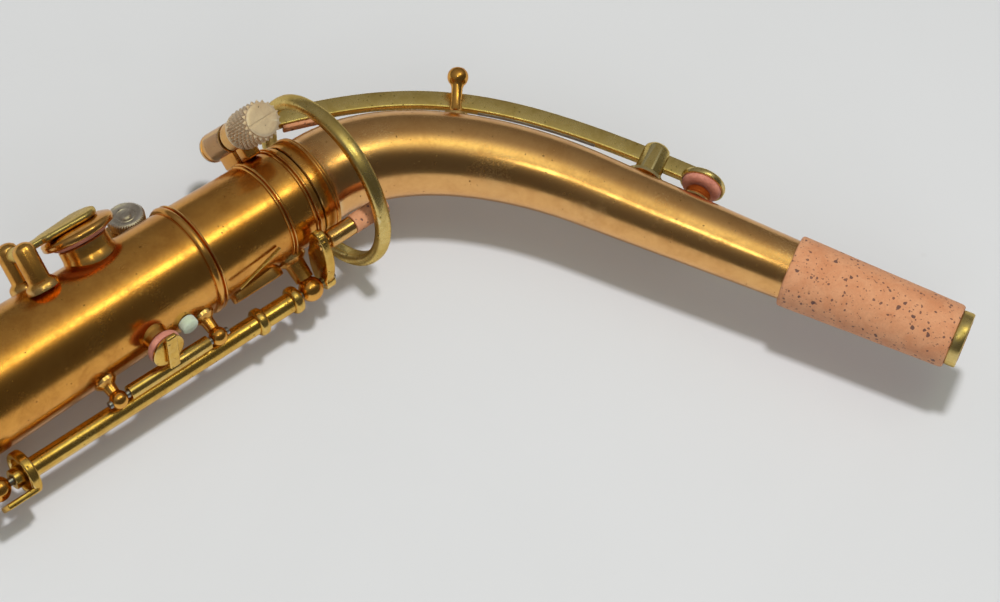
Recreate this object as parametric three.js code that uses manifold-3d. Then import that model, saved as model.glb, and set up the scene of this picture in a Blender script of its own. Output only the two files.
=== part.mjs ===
// Alto saxophone neck with its octave key, seated in the receiver at the top of the body.
// Millimetres. The horn lies on its side: X runs up the body axis towards the neck,
// Y points to the back of the horn (the outside of the neck's bend) and Z is up, across it.
import * as THREE from "three";
import { mergeVertices } from "three/addons/utils/BufferGeometryUtils.js";
import Module from "manifold-3d";

const wasm = await Module();
wasm.setup();

// ---- driving dimensions -------------------------------------------------------------------
const GAP = 0.3; // clearance between pieces that touch or nest
const ROUND = 32; // facets around a large tube

// body tube and receiver
const BODY_END_X = -112; // cut end of the upper body
const SEAM_X = -35.5; // where the receiver joins the body tube
const SOCKET_TOP_X = -2.2;
const BODY_TOP_RADIUS = 13.3;
const BODY_TAPER = 0.026; // growth of the radius for each millimetre down the body
const BODY_WALL = 1.2;
const SOCKET_SLEEVE = 10; // length of receiver hidden inside the body tube
const SOCKET_BEAD_X = [-12.2, -4.4];
const BEAD_RADIUS = 0.6;
const BEAD_HALF_WIDTH = 0.72;

// neck tube
const TENON_RADIUS = 11.5;
const TENON_WALL = 0.9;
const TENON_LENGTH = 25;
const COLLAR_RADIUS = 13.1;
const COLLAR_LENGTH = 4.8;
const NECK_START_X = 3.2;
const NECK_START_RADIUS = 11.75;
const NECK_TIP_RADIUS = 6.4;
const NECK_WALL = 0.8;
const BEND_START_X = 6;
const BEND_CORNER_X = 36.6; // where the body axis and the straight branch would cross
const BEND_ANGLE = 62.5; // degrees between the body axis and the straight branch
const BEND_PULL = [19, 29]; // how far the curve holds the direction of each branch
const BEND_TO_STRAIGHT = 48.7; // from the corner to the end of the curve
const CORK_START = 54.1; // distances along the straight branch
const CORK_LENGTH = 44.1;
const CORK_RADIUS = [9.3, 8.3];
const TIP_RING_LENGTH = 2.7;
const TIP_RING_RADIUS = 7.2;

// octave key
const PIVOT_ALONG = 11; // hinge of the octave key, along and off the straight branch
const PIVOT_OFF = 15.5;
const VENT_ALONG = 25;
const VENT_BORE = 1.1;
const PIP_RADIUS = 3.4;
const PIP_HEIGHT = 3.1;
const OCTAVE_PAD_RADIUS = 5.2;
const OCTAVE_PAD_THICK = 1.9;
const OCTAVE_CUP_RADIUS = 5.9;
const ARM_HEIGHT = 4.9;
const ARM_WIDTH = 2.2;
const ARM_START = [6.2, 20.6];
const ARM_PULLS = [
  [45.8, 7.2],
  [60.4, -9.2],
];
const ARM_END = [84.2, -58];
const RING_X = 6.5;
const RING_Y = -1.6; // the ring hangs a little towards the front
const RING_RADIUS = 22.3;
const RING_ROD = [1.95, 1.7]; // half the rod's width along X and across
const SADDLE_RADIUS = 3.2;
const SADDLE_THROAT = 2.1; // height above the neck where the saddle's slot starts
const HINGE_SCREW_RADIUS = 0.95;
const GUIDE_AT = 0.55; // place of the guide post on the bend curve
const GUIDE_TILT = 14.5;
const GUIDE_REACH = 20.9; // from the neck's centre line to the middle of the ball
const BALL_RADIUS = 2.68;
const BUMPER_THICK = 1.1;
const BUMPER_SPAN = [0.02, 0.09]; // shares of the arm's length
const SPRING_SPAN = [0.5, 0.82];
const SPRING_THICK = 0.6;

// clamp screw of the receiver
const CLAMP_X = -8.1;
const CLAMP_OFF = 20; // distance of the screw axis from the body axis
const CLAMP_AXIS = [0.08, -0.46, 0.88];
const CLAMP_SLOT = 1.2;
const CLAMP_HEAD = [6.4, 19.2]; // where the knurled head starts and ends on the screw axis
const CLAMP_HEAD_RADIUS = 5;
const CLAMP_LUG_RADIUS = 3.9;
const CLAMP_NEAR_LUG = 5.6;
const CLAMP_FAR_LUG = 14;
const CLAMP_SHANK_RADIUS = 1.8;
const CLAMP_WEB_FOOT = 13; // where the lugs' webs start, from the body axis
const CLAMP_CHAMFER = 0.6;
const DRIVER_SLOT = [12, 1, 0.9];

// octave lever beside the body
const LEVER_Y = -20.4;
const LEVER_Z = -9.2;
const LEVER_TUBE_RADIUS = 2.6;
const LEVER_TUBE_X = [-103.5, -16];
const LEVER_POST_X = [-107.6, -12.2];
const LIFT_PIN_YZ = [-17.8, 4.2];
const LIFT_PIN_END_X = 12.4;
const LIFT_PIN_RADIUS = 1.5;
const LIFT_SLEEVE_RADIUS = 2.5;
const LEVER_ROD_RADIUS = 1.1;
const LEVER_COLLARS_X = [-17.6, -28.4];
const LEVER_POST = { stem: 2.2, ball: 3.2 };
const RIB = { x: [-29.2, -16.3], narrow: 2.2, wide: 4.2, foot: 10.6, height: 5 };
const LEAF_X = [-8.6, -5.9];
const LEAF_HALF_WIDTH = 3.4;
const LEAF_HUB_RADIUS = 2.4;
const THUMB_X = [-102.4, -98.2];
const THUMB_HOOP_RADIUS = 5.1;
const THUMB_PLATE = [9, 7.5, 1.8]; // length, width and thickness

// side key and low key; angles turn from the back (+Y) towards +Z
const PAD_THICK = 2.2;
const CUP_WALL = 0.8;
const SIDE_KEY = { x: -57.2, angle: 37, bore: 5.6, wall: 1, rise: 3.6 };
const SIDE_POST = { x: -73.5, radius: 2.9 };
const SIDE_ARM = { width: 5, thick: 1.8, lift: 0.3, barrel: 1.9 };
const SIDE_SCREW_RADIUS = 0.9;
const LOW_KEY = { x: -56.5, angle: 168.5, bore: 2.6, wall: 0.8, rise: 2.4 };
const LOW_POSTS_X = [-71.5, -41.2];
const LOW_POST = { stem: 1.7, ball: 2.4 };
const LOW_ROD_OFF = 20.4; // distance of the low key's rod from the body axis
const LOW_ROD_ANGLE = 191;
const LOW_ROD_RADIUS = 1;
const LOW_TUBE_RADIUS = 1.9;
const FELT = { x: -47, angle: 176, radius: 2.3, height: 2.2 };

// music holder socket
const LYRE = { x: -41.8, angle: -19, size: [8.4, 7, 7.4], bore: 1.6, screwShift: 1.6, lift: 0.3 };
const LYRE_HOLE = 3.6;
const LYRE_HEAD_RADIUS = 4.5;

// steps along the neck's centre line
const BEND_STEPS = 14;
const STRAIGHT_STEPS = 3;

// ---- materials ----------------------------------------------------------------------------
const finish = (color, metalness, roughness) =>
  new THREE.MeshStandardMaterial({ color, metalness, roughness });
const LACQUER = finish(0x94662a, 1, 0.25);
const KEY_BRASS = finish(0xa08a3c, 1, 0.32);
const CORK = finish(0xd28f68, 0, 0.85);
const LEATHER = finish(0xc4756a, 0, 0.6);
const STEEL = finish(0x8c8a86, 1, 0.3);
const NICKEL = finish(0x9a968c, 1, 0.35);
const PALE_BRASS = finish(0xb9a583, 1, 0.4);
const WOOL_FELT = finish(0xaebd92, 0, 0.95);

// ---- solids -------------------------------------------------------------------------------
const X_AXIS = new THREE.Vector3(1, 0, 0);
const Y_AXIS = new THREE.Vector3(0, 1, 0);
const Z_AXIS = new THREE.Vector3(0, 0, 1);
const radians = THREE.MathUtils.degToRad;
const v3 = (x, y, z) => new THREE.Vector3(x, y, z);

// A closed geometry as a manifold solid, turned the right way out.
function solidOf(geometry) {
  const bare = geometry.clone();
  bare.deleteAttribute("normal");
  bare.deleteAttribute("uv");
  const merged = mergeVertices(bare, 1e-4);
  const vertProperties = new Float32Array(merged.attributes.position.array);
  const triVerts = new Uint32Array(merged.index.array);
  const made = new wasm.Manifold(new wasm.Mesh({ numProp: 3, vertProperties, triVerts }));
  if (made.volume() > 0) return made;
  for (let i = 0; i < triVerts.length; i += 3) {
    [triVerts[i + 1], triVerts[i + 2]] = [triVerts[i + 2], triVerts[i + 1]];
  }
  return new wasm.Manifold(new wasm.Mesh({ numProp: 3, vertProperties, triVerts }));
}

function geometryOf(solid) {
  const made = solid.getMesh();
  const stride = made.numProp;
  const points = new Float32Array(made.numVert * 3);
  for (let i = 0; i < made.numVert; i++) {
    points.set(made.vertProperties.subarray(i * stride, i * stride + 3), i * 3);
  }
  const geometry = new THREE.BufferGeometry();
  geometry.setAttribute("position", new THREE.BufferAttribute(points, 3));
  geometry.setIndex(new THREE.BufferAttribute(new Uint32Array(made.triVerts), 1));
  return geometry;
}

const joined = (first, ...rest) =>
  geometryOf(rest.reduce((sum, g) => sum.add(solidOf(g)), solidOf(first)));
const without = (first, ...rest) =>
  geometryOf(rest.reduce((sum, g) => sum.subtract(solidOf(g)), solidOf(first)));

// Moves a geometry that was made around +Y so that it starts at origin and points along axis.
function aimed(geometry, origin, axis) {
  const turn = new THREE.Quaternion().setFromUnitVectors(Y_AXIS, axis.clone().normalize());
  return geometry.applyQuaternion(turn).translate(origin.x, origin.y, origin.z);
}

// A turned piece: outline is a list of [distance along the axis, radius].
function turned(outline, origin, axis, facets = 20) {
  const points = outline.map(([along, radius]) => new THREE.Vector2(radius, along));
  return aimed(new THREE.LatheGeometry(points, facets), origin, axis);
}

// A tube or washer with straight walls.
function sleeve(from, to, outer, inner, origin, axis, facets = 24) {
  const outline = [
    [from, inner],
    [from, outer],
    [to, outer],
    [to, inner],
    [from, inner],
  ];
  return turned(outline, origin, axis, facets);
}

const rod = (from, to, radius, origin, axis, facets = 16) =>
  turned([[from, 0], [from, radius], [to, radius], [to, 0]], origin, axis, facets);

const block = (size, centre) => new THREE.BoxGeometry(...size).translate(...centre);

const group = new THREE.Group();
function add(name, material, geometry) {
  const mesh = new THREE.Mesh(geometryOf(solidOf(geometry)), material);
  mesh.name = name;
  group.add(mesh);
  return mesh;
}

// ---- places -------------------------------------------------------------------------------
const bodyRadius = (x) => BODY_TOP_RADIUS + BODY_TAPER * (SOCKET_BEAD_X[0] - x);

// Unit vector away from the body axis at an angle turned from +Y towards +Z.
const radial = (angle) => v3(0, Math.cos(radians(angle)), Math.sin(radians(angle)));
const around = (x, radius, angle) => radial(angle).multiplyScalar(radius).setX(x);

const straightDir = v3(Math.cos(radians(BEND_ANGLE)), -Math.sin(radians(BEND_ANGLE)), 0);
const straightOut = v3(-straightDir.y, straightDir.x, 0);
const bendEnd = v3(BEND_CORNER_X, 0, 0).addScaledVector(straightDir, BEND_TO_STRAIGHT);
const onStraight = (along, off, z = 0) =>
  bendEnd.clone().addScaledVector(straightDir, along).addScaledVector(straightOut, off).setZ(z);

const bend = new THREE.CubicBezierCurve3(
  v3(BEND_START_X, 0, 0),
  v3(BEND_START_X + BEND_PULL[0], 0, 0),
  bendEnd.clone().addScaledVector(straightDir, -BEND_PULL[1]),
  bendEnd,
);
const tipAlong = CORK_START + CORK_LENGTH + GAP + TIP_RING_LENGTH;
const neckLine = new THREE.CurvePath();
neckLine.add(new THREE.LineCurve3(v3(NECK_START_X, 0, 0), v3(BEND_START_X, 0, 0)));
neckLine.add(bend);
neckLine.add(new THREE.LineCurve3(bendEnd, onStraight(tipAlong, 0)));
const neckLength = neckLine.getLength();
const neckRadius = (fromStart) =>
  THREE.MathUtils.lerp(NECK_START_RADIUS, NECK_TIP_RADIUS, fromStart / neckLength);
const straightRadius = (along) => neckRadius(neckLength - tipAlong + along);

// Bends a piece made around +Y, from 0 to 1 in height, onto the neck's centre line.
function onNeckLine(geometry) {
  const position = geometry.attributes.position;
  for (let i = 0; i < position.count; i++) {
    const at = THREE.MathUtils.clamp(position.getY(i), 0, 1);
    const centre = neckLine.getPointAt(at);
    const tangent = neckLine.getTangentAt(at);
    const out = v3(-tangent.y, tangent.x, 0).normalize();
    centre.addScaledVector(out, position.getX(i)).addScaledVector(Z_AXIS, position.getZ(i));
    position.setXYZ(i, centre.x, centre.y, centre.z);
  }
  return geometry;
}

// Places on the centre line, as shares of its length: close together where it bends.
const bendShare = 1 - tipAlong / neckLength;
const neckSteps = [
  ...Array.from({ length: BEND_STEPS }, (_, i) => (bendShare * i) / BEND_STEPS),
  ...Array.from(
    { length: STRAIGHT_STEPS + 1 },
    (_, i) => bendShare + ((1 - bendShare) * i) / STRAIGHT_STEPS,
  ),
];
// The neck's outer surface moved out by offset, as a solid without a bore.
function neckEnvelope(offset) {
  const side = neckSteps.map((at) => new THREE.Vector2(neckRadius(at * neckLength) + offset, at));
  const outline = [new THREE.Vector2(0, 0), ...side, new THREE.Vector2(0, 1)];
  return onNeckLine(new THREE.LatheGeometry(outline, ROUND));
}

function bodyEnvelope(offset) {
  const ends = [BODY_END_X - 5, SOCKET_TOP_X + 5];
  const outline = ends.map((x) => [x, bodyRadius(x) + offset]);
  return turned([[ends[0], 0], ...outline, [ends[1], 0]], v3(0, 0, 0), X_AXIS, ROUND);
}

// ---- body and receiver --------------------------------------------------------------------
const innerRadius = (x) => bodyRadius(x) - BODY_WALL;

function toneHole({ x, angle, bore }) {
  return rod(5, 25, bore, v3(x, 0, 0), radial(angle), 24);
}

function bodyTube() {
  const outline = [
    [BODY_END_X, innerRadius(BODY_END_X)],
    [BODY_END_X, bodyRadius(BODY_END_X)],
    [SEAM_X, bodyRadius(SEAM_X)],
    [SEAM_X, innerRadius(SEAM_X)],
    [BODY_END_X, innerRadius(BODY_END_X)],
  ];
  const tube = turned(outline, v3(0, 0, 0), X_AXIS, ROUND);
  return without(tube, toneHole(SIDE_KEY), toneHole(LOW_KEY));
}

const clampAxis = v3(...CLAMP_AXIS).normalize();
const clampOut = v3(0, clampAxis.z, -clampAxis.y).normalize();
const clampCentre = clampOut.clone().multiplyScalar(CLAMP_OFF).setX(CLAMP_X);

function clampLug(from, to) {
  const barrel = rod(from, to, CLAMP_LUG_RADIUS, clampCentre, clampAxis, 24);
  const height = CLAMP_OFF - CLAMP_WEB_FOOT;
  const size = [2 * CLAMP_LUG_RADIUS - GAP, to - from, height];
  const web = block(size, [0, (from + to) / 2, -height / 2]);
  const frame = new THREE.Matrix4().makeBasis(
    clampAxis.clone().cross(clampOut),
    clampAxis,
    clampOut,
  );
  web.applyMatrix4(frame).translate(clampCentre.x, clampCentre.y, clampCentre.z);
  return joined(barrel, web);
}

function neckSocket() {
  const bore = TENON_RADIUS + GAP;
  const sleeveRadius = innerRadius(SEAM_X) - GAP;
  const outline = [
    [SEAM_X - SOCKET_SLEEVE, bore],
    [SEAM_X - SOCKET_SLEEVE, sleeveRadius],
    [SEAM_X + GAP, sleeveRadius],
    [SEAM_X + GAP, bodyRadius(SEAM_X)],
  ];
  for (const x of SOCKET_BEAD_X) {
    for (const step of [-1, -0.5, 0.5, 1]) {
      const rise = Math.abs(step) === 1 ? 0 : BEAD_RADIUS;
      outline.push([x + step * BEAD_HALF_WIDTH, bodyRadius(x) + rise]);
    }
  }
  outline.push([SOCKET_TOP_X, bodyRadius(SOCKET_TOP_X)]);
  outline.push([SOCKET_TOP_X, bore]);
  outline.push([SEAM_X - SOCKET_SLEEVE, bore]);
  const shell = turned(outline, v3(0, 0, 0), X_AXIS, ROUND);
  const farEnd = -CLAMP_FAR_LUG;
  const lugs = joined(clampLug(farEnd, -CLAMP_SLOT / 2), clampLug(CLAMP_SLOT / 2, CLAMP_NEAR_LUG));
  const boreSpace = rod(2 * SEAM_X, -SEAM_X, bore, v3(0, 0, 0), X_AXIS, ROUND);
  const shankSpace = CLAMP_SHANK_RADIUS + GAP;
  const shank = rod(1 - CLAMP_FAR_LUG, CLAMP_FAR_LUG, shankSpace, clampCentre, clampAxis);
  const slot = block([20, CLAMP_SLOT, 16], [0, 0, CLAMP_OFF - 4]);
  const frame = new THREE.Matrix4().makeBasis(
    X_AXIS,
    v3(0, -clampOut.z, clampOut.y),
    v3(0, clampOut.y, clampOut.z),
  );
  slot.applyMatrix4(frame).translate(SOCKET_TOP_X - 6, 0, 0);
  return without(joined(shell, lugs), boreSpace, shank, slot);
}

function bodyRing() {
  const inner = bodyRadius(SEAM_X) + GAP;
  const middle = SEAM_X + GAP / 2;
  return turned(
    [
      [middle - 1.5, inner],
      [middle - 1.2, inner + 0.8],
      [middle - 0.4, inner + 1.1],
      [middle + 0.4, inner + 1.1],
      [middle + 1.2, inner + 0.8],
      [middle + 1.5, inner],
      [middle - 1.5, inner],
    ],
    v3(0, 0, 0),
    X_AXIS,
    ROUND,
  );
}

function clampScrew() {
  const [from, to] = CLAMP_HEAD;
  const head = turned(
    [
      [from, 0],
      [from, CLAMP_HEAD_RADIUS - CLAMP_CHAMFER],
      [from + CLAMP_CHAMFER, CLAMP_HEAD_RADIUS],
      [to - CLAMP_CHAMFER, CLAMP_HEAD_RADIUS],
      [to, CLAMP_HEAD_RADIUS - CLAMP_CHAMFER],
      [to, 0],
    ],
    clampCentre,
    clampAxis,
    ROUND,
  );
  const shank = rod(2 - CLAMP_FAR_LUG, from + 1, CLAMP_SHANK_RADIUS, clampCentre, clampAxis);
  const slot = aimed(block(DRIVER_SLOT, [0, to, 0]), clampCentre, clampAxis);
  return without(joined(head, shank), slot);
}

// ---- neck ---------------------------------------------------------------------------------
function neckTube() {
  const outer = neckSteps.map((at) => new THREE.Vector2(neckRadius(at * neckLength), at));
  const inner = neckSteps.map(
    (at) => new THREE.Vector2(neckRadius(at * neckLength) - NECK_WALL, at),
  );
  const outline = [...outer, ...inner.reverse(), outer[0].clone()];
  const tube = onNeckLine(new THREE.LatheGeometry(outline, ROUND));
  const vent = rod(2, 20, VENT_BORE, onStraight(VENT_ALONG, 0), straightOut, 16);
  return without(tube, vent);
}

function neckTenon() {
  const from = NECK_START_X - GAP - TENON_LENGTH - COLLAR_LENGTH;
  const to = NECK_START_X - GAP;
  return sleeve(from, to, TENON_RADIUS, TENON_RADIUS - TENON_WALL, v3(0, 0, 0), X_AXIS, ROUND);
}

function neckCollar() {
  const to = NECK_START_X - GAP;
  const from = SOCKET_TOP_X + GAP;
  const inner = TENON_RADIUS + GAP;
  return turned(
    [
      [from, inner],
      [from, COLLAR_RADIUS],
      [to - 1.6, COLLAR_RADIUS],
      [to - 1.3, COLLAR_RADIUS + 0.5],
      [to - 0.5, COLLAR_RADIUS + 0.5],
      [to, COLLAR_RADIUS - 0.2],
      [to, inner],
      [from, inner],
    ],
    v3(0, 0, 0),
    X_AXIS,
    ROUND,
  );
}

function neckCork() {
  const to = CORK_START + CORK_LENGTH;
  const inner = [CORK_START, to].map((along) => straightRadius(along) + GAP);
  const outline = [
    [CORK_START, inner[0]],
    [CORK_START, CORK_RADIUS[0] - 0.4],
    [CORK_START + 0.4, CORK_RADIUS[0]],
    [to - 0.4, CORK_RADIUS[1]],
    [to, CORK_RADIUS[1] - 0.4],
    [to, inner[1]],
    [CORK_START, inner[0]],
  ];
  return turned(outline, bendEnd, straightDir, ROUND);
}

function tipRing() {
  const from = CORK_START + CORK_LENGTH + GAP;
  const inner = straightRadius(from) + GAP;
  return sleeve(from, tipAlong, TIP_RING_RADIUS, inner, bendEnd, straightDir, ROUND);
}

// ---- octave key on the neck ---------------------------------------------------------------
const pivot = onStraight(PIVOT_ALONG, PIVOT_OFF);
const pipTop = straightRadius(VENT_ALONG) + PIP_HEIGHT;
const armLine = new THREE.CubicBezierCurve3(
  v3(...ARM_START, 0),
  v3(...ARM_PULLS[0], 0),
  v3(...ARM_PULLS[1], 0),
  v3(...ARM_END, 0),
);

function octavePip() {
  const top = pipTop;
  const low = top - PIP_HEIGHT - 2;
  const outline = [
    [low, VENT_BORE],
    [low, PIP_RADIUS + 1.2],
    [top - PIP_HEIGHT + 0.6, PIP_RADIUS + 0.9],
    [top - PIP_HEIGHT + 1.2, PIP_RADIUS],
    [top - 0.5, PIP_RADIUS - 0.5],
    [top, PIP_RADIUS - 1.4],
    [top, VENT_BORE],
    [low, VENT_BORE],
  ];
  const pip = turned(outline, onStraight(VENT_ALONG, 0), straightOut, 20);
  return without(pip, neckEnvelope(GAP));
}

// A round post with a slot for the arm and a hole across it for the hinge screw.
function octaveSaddle() {
  const surface = straightRadius(PIVOT_ALONG);
  const top = PIVOT_OFF + 3.9;
  const outline = [
    [surface - 3, 0],
    [surface - 3, SADDLE_RADIUS + 2],
    [surface + 0.3, SADDLE_RADIUS + 1.8],
    [surface + 0.9, SADDLE_RADIUS + 0.6],
    [surface + 2, SADDLE_RADIUS],
    [top - 1.4, SADDLE_RADIUS],
    [top - 0.4, SADDLE_RADIUS - 0.9],
    [top, SADDLE_RADIUS - 2],
    [top, 0],
  ];
  const foot = onStraight(PIVOT_ALONG, 0);
  const post = turned(outline, foot, straightOut, 18);
  const throat = block([30, 20, ARM_WIDTH + 2 * GAP], [0, surface + SADDLE_THROAT + 10, 0]);
  throat.applyMatrix4(new THREE.Matrix4().makeBasis(straightDir, straightOut, Z_AXIS));
  throat.translate(foot.x, foot.y, 0);
  const hole = rod(-10, 10, HINGE_SCREW_RADIUS + GAP, pivot, Z_AXIS, 16);
  return without(post, throat, hole, neckEnvelope(GAP));
}

function hingeScrew() {
  const outer = SADDLE_RADIUS;
  return turned(
    [
      [-outer - 0.2, 0],
      [-outer - 0.2, HINGE_SCREW_RADIUS],
      [outer + GAP, HINGE_SCREW_RADIUS],
      [outer + GAP, 1.9],
      [outer + 0.9, 1.7],
      [outer + 1.1, 0],
    ],
    pivot,
    Z_AXIS,
    20,
  );
}

// A flat bar along the arm's curve between two places on it, off its middle line by shift.
function armStrip(from, to, height, width, shift, steps) {
  const half = height / 2;
  const shape = new THREE.Shape();
  const round = Math.min(half, width / 2) * 0.5;
  shape.moveTo(-half + round, -width / 2);
  shape.lineTo(half - round, -width / 2);
  shape.quadraticCurveTo(half, -width / 2, half, -width / 2 + round);
  shape.lineTo(half, width / 2 - round);
  shape.quadraticCurveTo(half, width / 2, half - round, width / 2);
  shape.lineTo(-half + round, width / 2);
  shape.quadraticCurveTo(-half, width / 2, -half, width / 2 - round);
  shape.lineTo(-half, -width / 2 + round);
  shape.quadraticCurveTo(-half, -width / 2, -half + round, -width / 2);
  const flat = new THREE.ExtrudeGeometry(shape, {
    depth: 1,
    steps,
    bevelEnabled: false,
    curveSegments: 1,
  });
  const position = flat.attributes.position;
  for (let i = 0; i < position.count; i++) {
    const at = THREE.MathUtils.lerp(from, to, THREE.MathUtils.clamp(position.getZ(i), 0, 1));
    const point = armLine.getPoint(at);
    const tangent = armLine.getTangent(at);
    const out = v3(-tangent.y, tangent.x, 0);
    point.addScaledVector(out, position.getX(i) + shift);
    position.setXYZ(i, point.x, point.y, position.getY(i));
  }
  return flat;
}

function octaveArm() {
  const bar = armStrip(0, 1, ARM_HEIGHT, ARM_WIDTH, 0, 28);
  const cupSpace = rod(5, 30, OCTAVE_CUP_RADIUS + GAP, onStraight(VENT_ALONG, 0), straightOut, 32);
  const past = rod(-2, 40, 12, onStraight(VENT_ALONG + 8, 0), straightOut, 24);
  const hole = rod(-5, 5, HINGE_SCREW_RADIUS + GAP, pivot, Z_AXIS, 16);
  return without(bar, cupSpace, past, hole, ringSolid(GAP));
}

const ringAxis = v3(1, 0.02, -0.05).normalize();
// The ring's oval rod turned round the neck, with its surface moved out by offset.
function ringSolid(offset) {
  const points = [];
  const facets = 10;
  const [halfX, halfOut] = RING_ROD.map((half) => half + offset);
  for (let i = 0; i <= facets; i++) {
    const turn = (2 * Math.PI * (i % facets)) / facets;
    points.push([halfX * Math.cos(turn), RING_RADIUS + halfOut * Math.sin(turn)]);
  }
  return turned(points, v3(RING_X, RING_Y, 0), ringAxis, 32);
}

const octaveSeat = pipTop + GAP;
function octavePad() {
  const top = octaveSeat + OCTAVE_PAD_THICK;
  return turned(
    [
      [octaveSeat + 0.3, 0],
      [octaveSeat, 1],
      [octaveSeat, OCTAVE_PAD_RADIUS - 0.5],
      [octaveSeat + 0.5, OCTAVE_PAD_RADIUS],
      [top, OCTAVE_PAD_RADIUS],
      [top, 0],
    ],
    onStraight(VENT_ALONG, 0),
    straightOut,
    28,
  );
}

function octaveCup() {
  const floor = octaveSeat + OCTAVE_PAD_THICK + GAP;
  const rim = octaveSeat + 1;
  return turned(
    [
      [floor, 0],
      [floor, OCTAVE_PAD_RADIUS + GAP],
      [rim, OCTAVE_PAD_RADIUS + GAP],
      [rim, OCTAVE_CUP_RADIUS],
      [floor + 0.9, OCTAVE_CUP_RADIUS],
      [floor + 1.5, OCTAVE_CUP_RADIUS - 1.2],
      [floor + 1.9, 0],
    ],
    onStraight(VENT_ALONG, 0),
    straightOut,
    32,
  );
}

function guidePost() {
  const foot = bend.getPoint(GUIDE_AT);
  const tangent = bend.getTangent(GUIDE_AT);
  const out = v3(-tangent.y, tangent.x, 0).applyAxisAngle(tangent, radians(GUIDE_TILT));
  const surface = neckRadius(BEND_START_X - NECK_START_X + GUIDE_AT * bend.getLength());
  const outline = [
    [surface - 3, 0],
    [surface - 3, 3.6],
    [surface + 0.4, 3.4],
    [surface + 1.3, 2.1],
    [surface + 2.4, 1.85],
    [GUIDE_REACH - 2.2, 1.6],
  ];
  for (const turn of [-40, -15, 15, 40]) {
    const along = GUIDE_REACH + BALL_RADIUS * Math.sin(radians(turn));
    outline.push([along, BALL_RADIUS * Math.cos(radians(turn))]);
  }
  outline.push([GUIDE_REACH + 2.3, 1.3]);
  outline.push([GUIDE_REACH + 2.3, 0]);
  return without(turned(outline, foot, out, 20), neckEnvelope(GAP));
}

// ---- posts and keys beside the body -------------------------------------------------------
// A post standing on the body, with a ball drilled for a rod that runs along X.
function ballPost(x, y, z, hole, { stem, ball }) {
  const reach = Math.hypot(y, z);
  const axis = v3(0, y, z).normalize();
  const surface = bodyRadius(x);
  const outline = [
    [surface - 2, 0],
    [surface - 2, stem + 1.5],
    [surface + 0.9, stem + 1.3],
    [surface + 1.6, stem],
    [reach - ball * 0.85, stem * 0.9],
  ];
  for (const turn of [-45, -15, 15, 45, 70]) {
    const along = reach + ball * Math.sin(radians(turn));
    outline.push([along, ball * Math.cos(radians(turn))]);
  }
  outline.push([reach + ball, 0]);
  const post = turned(outline, v3(x, 0, 0), axis, 14);
  const bore = rod(-12, 12, hole, v3(x, y, z), X_AXIS, 12);
  return without(post, bodyEnvelope(GAP), beadSpace(), bore);
}

function postRib() {
  const angle = Math.atan2(LEVER_Z, LEVER_Y);
  const out = v3(0, Math.cos(angle), Math.sin(angle));
  const across = v3(0, -Math.sin(angle), Math.cos(angle));
  const [from, to] = RIB.x;
  const shape = new THREE.Shape();
  shape.absarc(to - RIB.wide, 0, RIB.wide, -Math.PI / 2, Math.PI / 2, false);
  shape.lineTo(from, RIB.narrow);
  shape.absarc(from, 0, RIB.narrow, Math.PI / 2, -Math.PI / 2, false);
  shape.closePath();
  const plate = new THREE.ExtrudeGeometry(shape, {
    depth: RIB.height,
    bevelEnabled: false,
    curveSegments: 10,
  });
  plate.applyMatrix4(new THREE.Matrix4().makeBasis(X_AXIS, across, out));
  plate.translate(0, out.y * RIB.foot, out.z * RIB.foot);
  return without(plate, bodyEnvelope(GAP), bodyRingSpace());
}

function beadSpace() {
  const [from, to] = [SOCKET_BEAD_X[0] - 2, SOCKET_TOP_X];
  return rod(from, to, BODY_TOP_RADIUS + BEAD_RADIUS + GAP, v3(0, 0, 0), X_AXIS, ROUND);
}

function bodyRingSpace() {
  return rod(SEAM_X - 2, SEAM_X + 2.1, bodyRadius(SEAM_X) + 2, v3(0, 0, 0), X_AXIS, ROUND);
}

const leverAxis = v3(0, LEVER_Y, LEVER_Z);

const leverPost = (x) => ballPost(x, LEVER_Y, LEVER_Z, LEVER_ROD_RADIUS + GAP, LEVER_POST);

function leverRod() {
  return rod(LEVER_POST_X[0] - 4, LEAF_X[1] + 1, LEVER_ROD_RADIUS, leverAxis, X_AXIS);
}

function leverTube() {
  const [from, to] = LEVER_TUBE_X;
  const tube = rod(from, to, LEVER_TUBE_RADIUS, leverAxis, X_AXIS, 20);
  const collars = LEVER_COLLARS_X.map((x) =>
    rod(x - 1.2, x + 1.2, LEVER_TUBE_RADIUS + 1, leverAxis, X_AXIS, 20),
  );
  const bore = rod(from - 1, to + 1, LEVER_ROD_RADIUS + GAP, leverAxis, X_AXIS, 12);
  return without(joined(tube, ...collars), bore);
}

// The leaf that carries the lift pin: an oval plate standing on a hub at the end of the rod.
function liftLeaf() {
  const [from, to] = LEAF_X;
  const hub = rod(from, to, LEAF_HUB_RADIUS, leverAxis, X_AXIS, 18);
  const reach = v3(0, LIFT_PIN_YZ[0] - LEVER_Y, LIFT_PIN_YZ[1] - LEVER_Z);
  const length = reach.length();
  const up = reach.clone().normalize();
  const side = v3(0, -up.z, up.y);
  const shape = new THREE.Shape();
  shape.absellipse(0, length / 2 + 0.4, LEAF_HALF_WIDTH, length / 2 + 2.1, 0, 2 * Math.PI);
  const plate = new THREE.ExtrudeGeometry(shape, {
    depth: to - from,
    bevelEnabled: false,
    curveSegments: 10,
  });
  plate.applyMatrix4(new THREE.Matrix4().makeBasis(side, up, X_AXIS));
  plate.translate(from, LEVER_Y, LEVER_Z);
  const bore = rod(from - 1, to + 1, LEVER_ROD_RADIUS + GAP, leverAxis, X_AXIS, 12);
  const seat = v3(0, ...LIFT_PIN_YZ);
  const pinSpace = rod(from - 1, to + 1, LIFT_PIN_RADIUS + GAP, seat, X_AXIS, 12);
  return without(joined(hub, plate), bore, pinSpace, leafSpace());
}

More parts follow.
